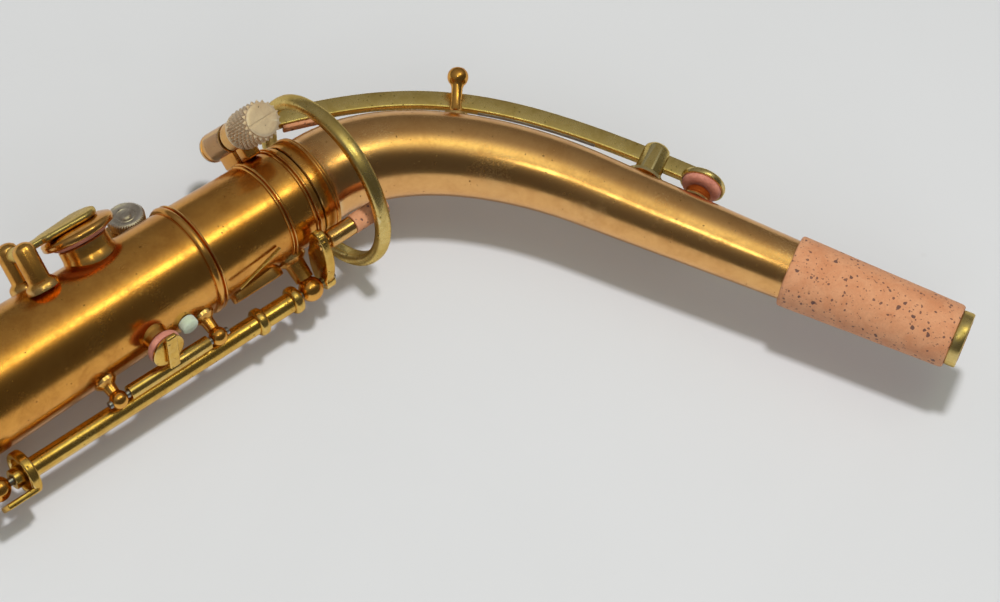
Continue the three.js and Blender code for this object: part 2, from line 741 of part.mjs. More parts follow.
// Room that the moving leaf leaves around the receiver and its upper bead.
function leafSpace() {
  const radius = BODY_TOP_RADIUS + BEAD_RADIUS + 2 * GAP;
  return rod(SEAM_X, -SEAM_X, radius, v3(0, 0, 0), X_AXIS, ROUND);
}

const liftPinAxis = v3(0, ...LIFT_PIN_YZ);
function liftPin() {
  return rod(LEAF_X[0] - 0.5, LIFT_PIN_END_X, LIFT_PIN_RADIUS, liftPinAxis, X_AXIS, 14);
}

function liftSleeve() {
  const [from, to] = [LEAF_X[1] + GAP, LIFT_PIN_END_X - GAP];
  return sleeve(from, to, LIFT_SLEEVE_RADIUS, LIFT_PIN_RADIUS + GAP / 2, liftPinAxis, X_AXIS, 16);
}

// ---- octave key's small pieces ------------------------------------------------------------
function bumperCork() {
  const shift = -(ARM_HEIGHT / 2 + GAP + BUMPER_THICK / 2);
  return armStrip(...BUMPER_SPAN, BUMPER_THICK, ARM_WIDTH, shift, 4);
}

function octaveSpring() {
  const shift = -(ARM_HEIGHT / 2 + GAP + SPRING_THICK / 2);
  return armStrip(...SPRING_SPAN, SPRING_THICK, ARM_WIDTH - 0.4, shift, 8);
}

// ---- thumb lever --------------------------------------------------------------------------
// The touch is a plate that reaches down the body from a thick hoop on the lever tube.
function thumbTouch() {
  const inner = LEVER_TUBE_RADIUS + GAP;
  const [from, to] = THUMB_X;
  const hoop = sleeve(from, to, THUMB_HOOP_RADIUS, inner, leverAxis, X_AXIS, 24);
  const out = v3(0, LEVER_Y, LEVER_Z).normalize();
  const [length, width, thick] = THUMB_PLATE;
  const plate = block([length, width, thick], [1 - length / 2, 0, THUMB_HOOP_RADIUS - thick / 2]);
  plate.applyMatrix4(new THREE.Matrix4().makeBasis(X_AXIS, v3(0, out.z, -out.y).negate(), out));
  plate.translate(from, LEVER_Y, LEVER_Z);
  const bore = rod(from - 20, to + 1, inner, leverAxis, X_AXIS, 24);
  return without(joined(hoop, plate), bore);
}

// ---- keys beside the body -----------------------------------------------------------------
// A tone hole chimney standing on the body tube, around its hole.
function chimney({ x, angle, bore, wall, rise }) {
  const top = bodyRadius(x) + rise;
  const tube = sleeve(bodyRadius(x) - 3, top, bore + wall, bore, v3(x, 0, 0), radial(angle), 28);
  return without(tube, bodyEnvelope(GAP));
}

function keyPad({ x, angle, bore, wall, rise }) {
  const low = bodyRadius(x) + rise + GAP;
  const radius = bore + wall + 1.1;
  const outline = [
    [low + 0.2, 0],
    [low, 1.2],
    [low, radius - 0.6],
    [low + 0.6, radius],
    [low + PAD_THICK, radius],
    [low + PAD_THICK, 0],
  ];
  return turned(outline, v3(x, 0, 0), radial(angle), 28);
}

const cupFloor = ({ x, rise }) => bodyRadius(x) + rise + 2 * GAP + PAD_THICK;
const cupTop = (key) => cupFloor(key) + 1.5;

function keyCup(key) {
  const pad = key.bore + key.wall + 1.1;
  const floor = cupFloor(key);
  const outline = [
    [floor, 0],
    [floor, pad + GAP],
    [floor - 1.2, pad + GAP],
    [floor - 1.2, pad + GAP + CUP_WALL],
    [floor + 0.5, pad + GAP + CUP_WALL],
    [cupTop(key), pad - 1],
    [cupTop(key), 0],
  ];
  return turned(outline, v3(key.x, 0, 0), radial(key.angle), 28);
}

// The side key swings on a screw that crosses the body, held by one thick post.
const sideUp = radial(SIDE_KEY.angle);
const sideAcross = v3(0, -sideUp.z, sideUp.y);
const sideArmLow = cupTop(SIDE_KEY) + SIDE_ARM.lift;
const sideHinge = v3(SIDE_POST.x, 0, 0).addScaledVector(sideUp, sideArmLow + SIDE_ARM.thick / 2);

function sideKeyArm() {
  const length = SIDE_KEY.x - SIDE_POST.x;
  const half = SIDE_ARM.width / 2;
  const shape = new THREE.Shape();
  shape.absarc(length, 0, 4.6, -Math.PI / 2 - 0.6, Math.PI / 2 + 0.6, false);
  shape.lineTo(4, half);
  shape.lineTo(-SIDE_ARM.barrel, half);
  shape.lineTo(-SIDE_ARM.barrel, -half);
  shape.lineTo(4, -half);
  shape.closePath();
  const plate = new THREE.ExtrudeGeometry(shape, {
    depth: SIDE_ARM.thick,
    bevelEnabled: false,
    curveSegments: 8,
  });
  const hinge = v3(0, 0, SIDE_ARM.thick / 2);
  const barrel = rod(-half, half, SIDE_ARM.barrel, hinge, Y_AXIS, 18);
  const bore = rod(-9, 9, SIDE_SCREW_RADIUS + GAP, hinge, Y_AXIS, 12);
  const arm = without(joined(plate, barrel), bore);
  arm.applyMatrix4(new THREE.Matrix4().makeBasis(X_AXIS, sideAcross, sideUp));
  const start = v3(SIDE_POST.x, 0, 0).addScaledVector(sideUp, sideArmLow);
  return arm.translate(start.x, start.y, start.z);
}

// Two posts hold the side key's screw, one on each side of its arm.
function sidePost(side) {
  const { x, radius } = SIDE_POST;
  const offset = side * (SIDE_ARM.width / 2 + GAP + radius);
  const foot = v3(x, 0, 0).addScaledVector(sideAcross, offset);
  const reach = sideArmLow + SIDE_ARM.thick / 2;
  const surface = bodyRadius(x);
  const outline = [
    [surface - 5, 0],
    [surface - 5, radius + 1],
    [surface + 0.4, radius + 0.9],
    [surface + 1.2, radius],
    [reach + 1.2, radius],
    [reach + 2.6, radius * 0.5],
    [reach + 3, 0],
  ];
  const post = turned(outline, foot, sideUp, 20);
  const bore = rod(-12, 12, SIDE_SCREW_RADIUS + GAP, sideHinge, sideAcross, 12);
  const armSpace = block([14, SIDE_ARM.width + 2 * GAP, 60], [0, 0, 0]);
  const basis = new THREE.Matrix4().makeBasis(X_AXIS, sideAcross, sideUp);
  armSpace.applyMatrix4(basis).translate(x, 0, 0);
  return without(post, bodyEnvelope(GAP), bore, armSpace);
}

function sideScrew() {
  const half = SIDE_ARM.width / 2 + GAP + 2 * SIDE_POST.radius;
  return turned(
    [[-half, 0], [-half, SIDE_SCREW_RADIUS], [half + GAP, SIDE_SCREW_RADIUS],
      [half + GAP, 1.7], [half + 1.1, 1.5], [half + 1.1, 0]],
    sideHinge,
    sideAcross,
    16,
  );
}

// The low key turns on a rod between two ball posts, parallel to the body.
const LOW_ROD = around(0, LOW_ROD_OFF, LOW_ROD_ANGLE);
const lowUp = radial(LOW_KEY.angle);

const lowPost = (x) => ballPost(x, LOW_ROD.y, LOW_ROD.z, LOW_ROD_RADIUS + GAP, LOW_POST);

function lowRod() {
  return rod(LOW_POSTS_X[0] - 3, LOW_POSTS_X[1] + 3, LOW_ROD_RADIUS, LOW_ROD, X_AXIS, 14);
}

function lowTube() {
  const [from, to] = [LOW_POSTS_X[0] + 3, LOW_POSTS_X[1] - 3];
  const bore = LOW_ROD_RADIUS + GAP;
  return sleeve(from, to, LOW_TUBE_RADIUS, bore, LOW_ROD, X_AXIS, 16);
}

// A flat arm from the low tube across the top of the low cup.
function lowArm() {
  const reach = cupTop(LOW_KEY) + GAP;
  const end = around(0, reach + 0.8, LOW_KEY.angle);
  const arm = block([4.4, 11, 1.6], [0, 1.6, 0]);
  const across = v3(0, lowUp.z, -lowUp.y);
  arm.applyMatrix4(new THREE.Matrix4().makeBasis(X_AXIS, across, lowUp.clone().negate()));
  arm.translate(LOW_KEY.x, end.y, end.z);
  const tubeSpace = rod(-90, 0, LOW_TUBE_RADIUS + GAP, LOW_ROD, X_AXIS, 20);
  return without(arm, tubeSpace);
}

function feltBumper() {
  const low = bodyRadius(FELT.x) + GAP;
  return rod(low, low + FELT.height, FELT.radius, v3(FELT.x, 0, 0), radial(FELT.angle));
}

// ---- music holder socket at the back of the body ------------------------------------------
function lyreSocket() {
  const up = radial(LYRE.angle);
  const across = v3(0, -up.z, up.y);
  const [long, wide, tall] = LYRE.size;
  const middle = bodyRadius(LYRE.x) + tall / 2;
  const box = block([long, wide, tall + 3], [0, 0, middle - 1.5]);
  const hole = block([long + 2, LYRE_HOLE, LYRE_HOLE], [0, 0, middle + LYRE.lift]);
  const threadFoot = v3(LYRE.screwShift, 0, middle + LYRE.lift);
  const thread = rod(0, 12, LYRE.bore + GAP, threadFoot, Y_AXIS, 14);
  const socket = without(box, hole, thread);
  socket.applyMatrix4(new THREE.Matrix4().makeBasis(X_AXIS, across, up));
  return without(socket.translate(LYRE.x, 0, 0), bodyEnvelope(GAP), bodyRingSpace());
}

function lyreScrew() {
  const up = radial(LYRE.angle);
  const across = v3(0, -up.z, up.y);
  const centre = v3(LYRE.x + LYRE.screwShift, 0, 0);
  centre.addScaledVector(up, bodyRadius(LYRE.x) + LYRE.size[2] / 2 + LYRE.lift);
  const start = LYRE.size[1] / 2 + 0.5;
  return turned(
    [
      [2.1, 0],
      [2.1, LYRE.bore],
      [start, LYRE.bore],
      [start, LYRE_HEAD_RADIUS - 0.5],
      [start + 0.4, LYRE_HEAD_RADIUS],
      [start + 2.8, LYRE_HEAD_RADIUS],
      [start + 3.2, LYRE_HEAD_RADIUS - 0.5],
      [start + 3.2, 0],
    ],
    centre,
    across,
    24,
  );
}

// ---- the assembly -------------------------------------------------------------------------
add("body_tube", LACQUER, bodyTube());
add("body_ring", LACQUER, bodyRing());
add("neck_socket", LACQUER, neckSocket());
add("clamp_screw", PALE_BRASS, clampScrew());
add("neck_tube", LACQUER, neckTube());
add("neck_tenon", KEY_BRASS, neckTenon());
add("neck_collar", LACQUER, neckCollar());
add("neck_cork", CORK, neckCork());
add("tip_ring", KEY_BRASS, tipRing());
add("octave_pip", LACQUER, octavePip());
add("octave_saddle", KEY_BRASS, octaveSaddle());
add("octave_hinge_screw", STEEL, hingeScrew());
add("octave_arm", KEY_BRASS, octaveArm());
add("octave_ring", KEY_BRASS, ringSolid(0));
add("octave_cup", KEY_BRASS, octaveCup());
add("octave_pad", LEATHER, octavePad());
add("octave_bumper_cork", CORK, bumperCork());
add("octave_spring", STEEL, octaveSpring());
add("octave_guide_post", KEY_BRASS, guidePost());
add("lever_post_rib", LACQUER, postRib());
add("lever_post_lower", KEY_BRASS, leverPost(LEVER_POST_X[0]));
add("lever_post_upper", KEY_BRASS, leverPost(LEVER_POST_X[1]));
add("lever_rod", STEEL, leverRod());
add("lever_tube", KEY_BRASS, leverTube());
add("thumb_touch", KEY_BRASS, thumbTouch());
add("lift_leaf", KEY_BRASS, liftLeaf());
add("lift_pin", KEY_BRASS, liftPin());
add("lift_pin_sleeve", CORK, liftSleeve());
add("side_tone_chimney", LACQUER, chimney(SIDE_KEY));
add("side_key_pad", LEATHER, keyPad(SIDE_KEY));
add("side_key_cup", LACQUER, keyCup(SIDE_KEY));
add("side_key_arm", KEY_BRASS, sideKeyArm());
add("side_key_post_front", LACQUER, sidePost(1));
add("side_key_post_back", LACQUER, sidePost(-1));
add("side_key_screw", STEEL, sideScrew());
add("low_tone_chimney", LACQUER, chimney(LOW_KEY));
add("low_key_pad", LEATHER, keyPad(LOW_KEY));
add("low_key_cup", LACQUER, keyCup(LOW_KEY));
add("low_key_arm", KEY_BRASS, lowArm());
add("low_key_rod", STEEL, lowRod());
add("low_key_tube", KEY_BRASS, lowTube());
add("low_key_post_lower", KEY_BRASS, lowPost(LOW_POSTS_X[0]));
add("low_key_post_upper", KEY_BRASS, lowPost(LOW_POSTS_X[1]));
add("felt_bumper", WOOL_FELT, feltBumper());
add("lyre_socket", LACQUER, lyreSocket());
add("lyre_screw", NICKEL, lyreScrew());

// The horn lies on its lowest point, and the origin is under the middle of its box.
const box = new THREE.Box3().setFromObject(group);
const middle = box.getCenter(v3(0, 0, 0));
group.position.set(-middle.x, -middle.y, -box.min.z);

export default group;
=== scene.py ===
import bmesh
import bpy
import math
from mathutils import Matrix, Vector, geometry


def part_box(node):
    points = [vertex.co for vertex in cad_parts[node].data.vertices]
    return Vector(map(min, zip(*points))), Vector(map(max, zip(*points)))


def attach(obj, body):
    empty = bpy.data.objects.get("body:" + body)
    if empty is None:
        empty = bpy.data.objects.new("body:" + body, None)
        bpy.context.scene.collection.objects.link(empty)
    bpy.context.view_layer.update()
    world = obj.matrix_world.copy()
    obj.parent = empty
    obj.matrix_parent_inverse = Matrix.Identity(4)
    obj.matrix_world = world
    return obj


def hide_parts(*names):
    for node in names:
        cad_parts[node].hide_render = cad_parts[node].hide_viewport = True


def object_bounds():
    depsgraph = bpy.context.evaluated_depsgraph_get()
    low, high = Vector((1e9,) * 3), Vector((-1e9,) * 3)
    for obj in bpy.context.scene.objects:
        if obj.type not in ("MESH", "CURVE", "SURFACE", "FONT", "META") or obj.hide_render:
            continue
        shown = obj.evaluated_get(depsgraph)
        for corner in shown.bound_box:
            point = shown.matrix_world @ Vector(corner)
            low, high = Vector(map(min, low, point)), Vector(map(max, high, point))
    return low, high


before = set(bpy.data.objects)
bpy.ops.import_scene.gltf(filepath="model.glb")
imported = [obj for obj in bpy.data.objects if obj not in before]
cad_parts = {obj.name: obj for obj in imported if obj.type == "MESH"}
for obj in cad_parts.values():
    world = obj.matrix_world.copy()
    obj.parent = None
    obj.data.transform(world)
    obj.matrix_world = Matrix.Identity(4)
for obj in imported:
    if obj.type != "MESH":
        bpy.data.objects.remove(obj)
cad_low, cad_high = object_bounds()
print("CAD box in mm:", [round(v * 1000, 1) for v in (*cad_low, *cad_high)])

# %% [markdown]
# Everything hangs on one line, the axis of the body tube. The body tube's box gives the cut
# end, and the tenon, a plain ring on the same axis, gives the height and the depth.
# %% Find the axis and name the sizes
MM = 0.001
GAP = 0.3
BODY_END = -112.0
tube_low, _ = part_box("body_tube")
tenon_low, tenon_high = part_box("neck_tenon")
AXIS_AT = Vector((
    tube_low.x - BODY_END * MM,
    (tenon_low.y + tenon_high.y) / 2,
    (tenon_low.z + tenon_high.z) / 2,
))
SET_DOWN = Matrix.Translation(AXIS_AT) @ Matrix.Scale(MM, 4)
X, Y, Z = Vector((1, 0, 0)), Vector((0, 1, 0)), Vector((0, 0, 1))
ORIGIN = Vector((0, 0, 0))
ROUND = 128
print("body axis crosses the seam at", [round(v * 1000, 2) for v in AXIS_AT], "mm")


# %% [markdown]
# Operators act on whatever is selected, and other meshes are often left selected. So every
# step starts by picking one piece and nothing else.
# %% Helpers that pick, change and turn a piece
def alone(piece):
    bpy.ops.object.select_all(action="DESELECT")
    piece.select_set(True)
    bpy.context.view_layer.objects.active = piece
    return piece


def modify(piece, kind, **settings):
    alone(piece)
    modifier = piece.modifiers.new(kind.title(), kind)
    for key, value in settings.items():
        setattr(modifier, key, value)
    bpy.ops.object.modifier_apply(modifier=modifier.name)
    return piece


def apply_place(piece, matrix):
    alone(piece)
    piece.matrix_world = matrix @ piece.matrix_world
    bpy.ops.object.transform_apply(location=True, rotation=True, scale=True)
    return piece


def basis(x, y, z, at=ORIGIN):
    return Matrix.Translation(at) @ Matrix((x, y, z)).transposed().to_4x4()


def stand(piece, foot, axis):
    """Turns a piece that was made along Z so that it stands on foot and points along axis."""
    turn = Z.rotation_difference(Vector(axis)).to_matrix().to_4x4()
    return apply_place(piece, Matrix.Translation(Vector(foot)) @ turn)


def carve(piece, *cutters):
    for cutter in cutters:
        modify(piece, "BOOLEAN", operation="DIFFERENCE", object=cutter, solver="EXACT")
        bpy.data.objects.remove(cutter)
    return piece


def fuse(piece, *others):
    for other in others:
        modify(piece, "BOOLEAN", operation="UNION", object=other, solver="EXACT")
        bpy.data.objects.remove(other)
    return piece


def soften(piece, width, segments=3, angle=35):
    limit = math.radians(angle)
    return modify(piece, "BEVEL", width=width, segments=segments, limit_method="ANGLE",
                  angle_limit=limit, use_clamp_overlap=True)


# %% [markdown]
# Most of a horn is turned. On a lathe the cutter follows a profile while the work spins, and
# the Spin operator does the same: one vertex is extruded from point to point, and the line is
# spun right round. Merging doubles closes the seam and the poles.
# %% A lathe
def new_point(name):
    bpy.ops.object.select_all(action="DESELECT")
    bpy.ops.mesh.primitive_plane_add(size=1)
    piece = bpy.context.object
    piece.name = piece.data.name = name
    bpy.ops.object.mode_set(mode="EDIT")
    bpy.ops.mesh.select_all(action="SELECT")
    bpy.ops.mesh.merge(type="CENTER")
    return piece


def lathe(name, profile, foot=ORIGIN, axis=X, steps=96):
    """profile is a list of (distance along the axis, radius)."""
    piece = new_point(name)
    bpy.ops.transform.translate(value=(profile[0][1], 0, profile[0][0]))
    for (along, radius), (to_along, to_radius) in zip(profile, profile[1:]):
        step = (to_radius - radius, 0, to_along - along)
        bpy.ops.mesh.extrude_region_move(TRANSFORM_OT_translate={"value": step})
    bpy.ops.mesh.select_all(action="SELECT")
    bpy.ops.mesh.spin(steps=steps, angle=2 * math.pi, center=(0, 0, 0), axis=(0, 0, 1))
    bpy.ops.mesh.select_all(action="SELECT")
    bpy.ops.mesh.remove_doubles(threshold=1e-4)
    bpy.ops.mesh.normals_make_consistent(inside=False)
    bpy.ops.object.mode_set(mode="OBJECT")
    return stand(piece, foot, axis)


def rod(name, start, end, radius, foot=ORIGIN, axis=X, steps=48):
    return lathe(name, [(start, 0), (start, radius), (end, radius), (end, 0)], foot, axis, steps)


def pipe(name, start, end, outer, inner, foot=ORIGIN, axis=X, steps=64):
    profile = [(start, inner), (start, outer), (end, outer), (end, inner), (start, inner)]
    return lathe(name, profile, foot, axis, steps)


def ridge(at, base, width, height, points=6):
    """Profile points of one rounded ridge on a tube of radius base."""
    turns = [math.pi * i / points for i in range(points + 1)]
    return [(at - width / 2 * math.cos(t), base + height * math.sin(t)) for t in turns]


# %% [markdown]
# Flat pieces start as a cube or a disc. A disc whose two halves are resized and pulled apart
# becomes a paddle, the shape of many key arms and feet.
# %% Plates and blocks
def block(name, size, at=ORIGIN, frame_at=None):
    bpy.ops.object.select_all(action="DESELECT")
    bpy.ops.mesh.primitive_cube_add(size=1, location=at)
    piece = bpy.context.object
    piece.name = piece.data.name = name
    piece.scale = size
    return apply_place(piece, frame_at or Matrix.Identity(4))


def pick(piece, test):
    """Selects the vertices of the piece in edit mode whose place passes the test."""
    mesh = bmesh.from_edit_mesh(piece.data)
    for v in mesh.verts:
        v.select = bool(test(v.co))
    mesh.select_flush_mode()
    bmesh.update_edit_mesh(piece.data)


def paddle(name, left, right, length, thick, frame_at=None, sides=64):
    bpy.ops.object.select_all(action="DESELECT")
    bpy.ops.mesh.primitive_circle_add(vertices=sides, radius=1, fill_type="NGON")
    piece = bpy.context.object
    piece.name = piece.data.name = name
    bpy.ops.object.mode_set(mode="EDIT")
    bpy.ops.mesh.select_mode(type="VERT")
    pick(piece, lambda co: co.x > 1e-4)
    bpy.ops.transform.resize(value=(right, right, 1), center_override=(0, 0, 0))
    bpy.ops.transform.translate(value=(length, 0, 0))
    pick(piece, lambda co: co.x < 1e-3)
    bpy.ops.transform.resize(value=(left, left, 1), center_override=(0, 0, 0))
    bpy.ops.mesh.select_all(action="SELECT")
    bpy.ops.mesh.extrude_region_move(TRANSFORM_OT_translate={"value": (0, 0, thick)})
    bpy.ops.mesh.select_all(action="SELECT")
    bpy.ops.mesh.normals_make_consistent(inside=False)
    bpy.ops.object.mode_set(mode="OBJECT")
    return apply_place(piece, frame_at or Matrix.Identity(4))


# %% [markdown]
# The neck and the octave key's arm are bent. Both are made straight along X, as a maker does,
# and then bent by a Curve modifier along a Bezier curve with the CAD's own control points.
# %% Bending along a curve
def bezier(name, points):
    """points is a list of (place, left handle, right handle)."""
    bpy.ops.object.select_all(action="DESELECT")
    bpy.ops.curve.primitive_bezier_curve_add()
    curve = bpy.context.object
    curve.name = name
    curve.data.dimensions = "3D"
    curve.data.twist_mode = "Z_UP"
    curve.data.resolution_u = 128
    spline = curve.data.splines[0]
    spline.bezier_points.add(len(points) - 2)
    for knot, (place, left, right) in zip(spline.bezier_points, points):
        knot.handle_left_type = knot.handle_right_type = "FREE"
        knot.co, knot.handle_left, knot.handle_right = place, left, right
    return curve


def bend(piece, curve):
    return modify(piece, "CURVE", object=curve, deform_axis="POS_X")


def length_to(knots, share, steps=400):
    """Length of one cubic curve from its start to a share of its run."""
    line = geometry.interpolate_bezier(*knots, steps)
    last = round(share * (steps - 1))
    return sum((line[i + 1] - line[i]).length for i in range(last))


def bar(name, start, end, height, width, shift=0.0, rounding=0.4, steps=120):
    """A bar along X, height in the plane of the bend and width across it."""
    piece = block(name, (end - start, height, width), ((start + end) / 2, shift, 0))
    soften(piece, rounding, 4)
    alone(piece)
    bpy.ops.object.mode_set(mode="EDIT")
    for i in range(1, steps):
        at = start + (end - start) * i / steps
        bpy.ops.mesh.select_all(action="SELECT")
        bpy.ops.mesh.bisect(plane_co=(at, 0, 0), plane_no=(1, 0, 0))
    bpy.ops.object.mode_set(mode="OBJECT")
    return piece


# %% [markdown]
# The camera comes first, so that every later look is from the same place. It stands above the
# horn and looks steeply down, through a long lens that keeps the tubes from looking stretched.
# %% Camera
EYE = Vector((-375.2, -402.6, 836.9))
RIGHT, UP = Vector((0.766, -0.636, 0.097)), Vector((0.504, 0.687, 0.523))
RIGHT.normalize()
BACK = RIGHT.cross(UP).normalized()
UP = BACK.cross(RIGHT)
bpy.ops.object.camera_add()
camera = bpy.context.object
camera.data.sensor_width = 36
camera.data.lens = 144
camera.data.clip_start, camera.data.clip_end = 0.01, 20
camera.matrix_world = basis(RIGHT, UP, BACK, AXIS_AT + EYE * MM)
bpy.context.scene.camera = camera
bpy.context.scene.view_settings.view_transform = "Standard"
print("camera is", round(EYE.length), "mm from the seam")

# %% [markdown]
# Polished metal shows its surroundings, so the light is most of its look. One lamp nearly
# overhead lights the floor and throws the shadow, and a large weak one lifts that shadow. The
# metal mirrors neither of them. It mirrors a long soft panel in the sky, which draws the streak
# along each tube, and two small lamps that put a glint in the streak. The far side of the room
# is brighter than the near side, and the floor is mirrored below.
# %% Lamps and room
def lamp(name, place, aim_at, size, watts, colour):
    bpy.ops.object.light_add(type="AREA")
    made = bpy.context.object
    made.name = name
    made.data.shape = "DISK"
    made.data.size = size
    made.data.energy = watts
    made.data.color = colour
    back = (Vector(place) - Vector(aim_at)).normalized()
    turn = back.to_track_quat("Z", "Y").to_matrix().to_4x4()
    made.matrix_world = Matrix.Translation(place) @ turn
    return made


MIDDLE = (cad_low + cad_high) / 2
overhead = lamp("overhead", (0.075, 0.0, 1.25), MIDDLE, 0.13, 9.9, (0.985, 0.975, 1.0))
overhead.visible_glossy = False
fill = lamp("shadow_fill", (-0.45, -0.85, 0.8), MIDDLE, 1.0, 4.2, (1.0, 0.985, 0.97))
fill.visible_glossy = False
glints = [lamp("neck_glint", (-0.34, -0.20, 0.95), MIDDLE, 0.14, 0.26, (1.0, 1.0, 0.60)),
          lamp("body_glint", (0.36, -0.17, 0.95), MIDDLE, 0.20, 0.36, (1.0, 0.92, 0.50))]
for glint in glints:
    glint.visible_diffuse = False

# %% The room: a dim sky with a soft panel
DIM_LEAST, DIM_RANGE, PANEL_STRENGTH = 0.075, 0.24, 1.30
world = bpy.data.worlds.new("dim_room")
bpy.context.scene.world = world
world.use_nodes = True
sky = world.node_tree
sky_nodes = sky.nodes


def sky_math(operation, first, second=0.0, third=0.0):
    made = sky_nodes.new("ShaderNodeMath")
    made.operation = operation
    for socket, value in zip(made.inputs, (first, second, third)):
        if isinstance(value, bpy.types.NodeSocket):
            sky.links.new(value, socket)
        else:
            socket.default_value = value
    return made.outputs[0]


split = sky_nodes.new("ShaderNodeSeparateXYZ")
sky.links.new(sky_nodes.new("ShaderNodeTexCoord").outputs["Generated"], split.inputs[0])
toward_x, toward_y, upward = split.outputs
across_panel = sky_math("ABSOLUTE", sky_math("MULTIPLY_ADD", toward_y, 4.5, 0.55))
across_panel = sky_math("POWER", across_panel, 2.0)
along_panel = sky_math("ABSOLUTE", sky_math("MULTIPLY_ADD", toward_x, 2.2, -0.2))
along_panel = sky_math("POWER", along_panel, 2.0)
panel = sky_math("EXPONENT", sky_math("MULTIPLY", sky_math("ADD", across_panel, along_panel), -1.0))
panel = sky_math("MULTIPLY", panel, sky_math("GREATER_THAN", upward, 0.0))
far_side = sky_math("SMOOTH_MAX", sky_math("MULTIPLY_ADD", toward_y, 1.43, 0.71), 0.0, 0.1)
far_side = sky_math("SMOOTH_MIN", far_side, 1.0, 0.1)
height = sky_math("MULTIPLY_ADD", sky_math("MAXIMUM", upward, 0.0), 0.75, 0.25)
dim = sky_math("MULTIPLY_ADD", sky_math("MULTIPLY", far_side, height), DIM_RANGE, DIM_LEAST)
strength = sky_math("MULTIPLY_ADD", panel, PANEL_STRENGTH, dim)
sky.links.new(strength, sky_nodes["Background"].inputs["Strength"])
tint = sky_nodes.new("ShaderNodeMix")
tint.data_type = "RGBA"
tint.inputs[6].default_value = (1.0, 0.985, 0.96, 1)
tint.inputs[7].default_value = (0.95, 1.05, 0.66, 1)
sky.links.new(panel, tint.inputs[0])
sky.links.new(tint.outputs[2], sky_nodes["Background"].inputs["Color"])
print("lamps:", overhead.name, [glint.name for glint in glints])


# %% [markdown]
# A finish is a small recipe of nodes. Three effects come back in many of them, so each is a
# node group built once: soft clouds of tarnish, fine scratches, and the bare edges that hands
# rub clean. A group only puts out masks. The shader and its fixed numbers stay in the finish.
# %% Node helpers
def node(tree, kind, inputs=None, **settings):
    made = tree.nodes.new(kind)
    for key, value in settings.items():
        setattr(made, key, value)
    for key, value in (inputs or {}).items():
        if isinstance(value, bpy.types.NodeSocket):
            tree.links.new(value, made.inputs[key])
        else:
            made.inputs[key].default_value = value
    return made


def group_tree(name, inputs, outputs):
    tree = bpy.data.node_groups.new(name, "ShaderNodeTree")
    for label, value in inputs.items():
        socket = tree.interface.new_socket(label, in_out="INPUT", socket_type="NodeSocketFloat")
        socket.default_value = value
    for label in outputs:
        tree.interface.new_socket(label, in_out="OUTPUT", socket_type="NodeSocketFloat")
    return tree, tree.nodes.new("NodeGroupInput"), tree.nodes.new("NodeGroupOutput")


def math_node(tree, operation, first, second=0.0, clamp=False):
    return node(tree, "ShaderNodeMath", {0: first, 1: second}, operation=operation,
                use_clamp=clamp).outputs[0]


def between(tree, value, low, high, to_low=0.0, to_high=1.0):
    inputs = {"Value": value, "From Min": low, "From Max": high, "To Min": to_low,
              "To Max": to_high}
    return node(tree, "ShaderNodeMapRange", inputs, interpolation_type="SMOOTHSTEP").outputs[0]


def blend_colour(tree, share, first, second):
    """A colour Mix node has its factor at socket 0 and its two colours at 6 and 7."""
    inputs = {0: share, 6: first, 7: second}
    return node(tree, "ShaderNodeMix", inputs, data_type="RGBA").outputs[2]


# %% Group: clouds of tarnish
knobs = {"Scale": 150.0, "Low": 0.4, "High": 0.65}
clouds, given, result = group_tree("Tarnish clouds", knobs, ["Mask"])
place = node(clouds, "ShaderNodeTexCoord").outputs["Object"]
noise = {"Vector": place, "Scale": given.outputs["Scale"], "Detail": 6.0, "Roughness": 0.62,
         "Distortion": 0.4}
broad = node(clouds, "ShaderNodeTexNoise", noise).outputs[0]
mask = between(clouds, broad, given.outputs["Low"], given.outputs["High"])
clouds.links.new(mask, result.inputs[0])

# %% Group: fine scratches, thin lines where stretched noise crosses its middle value
scratches, given, result = group_tree("Fine scratches", {"Scale": 300.0, "Width": 0.012}, ["Mask"])
place = node(scratches, "ShaderNodeTexCoord").outputs["Object"]
WAYS = (((0.3, 0.2, 0.5), (1, 9, 9)), ((0.9, -0.5, -0.8), (10, 1, 10)),
        ((0.1, 1.1, 1.9), (1, 12, 12)))
found = None
for turn, stretch in WAYS:
    turned = {"Vector": place, "Rotation": turn, "Scale": stretch}
    turned = node(scratches, "ShaderNodeMapping", turned).outputs[0]
    noise = {"Vector": turned, "Scale": given.outputs["Scale"], "Detail": 1.0}
    wave = node(scratches, "ShaderNodeTexNoise", noise).outputs[0]
    near = math_node(scratches, "ABSOLUTE", math_node(scratches, "SUBTRACT", wave, 0.5))
    line = between(scratches, near, 0.0, given.outputs["Width"], 1.0, 0.0)
    found = line if found is None else math_node(scratches, "MAXIMUM", found, line)
noise = {"Vector": place, "Scale": 90.0, "Detail": 3.0}
patchy = node(scratches, "ShaderNodeTexNoise", noise).outputs[0]
shown = math_node(scratches, "MULTIPLY", found, between(scratches, patchy, 0.5, 0.68))
scratches.links.new(shown, result.inputs[0])

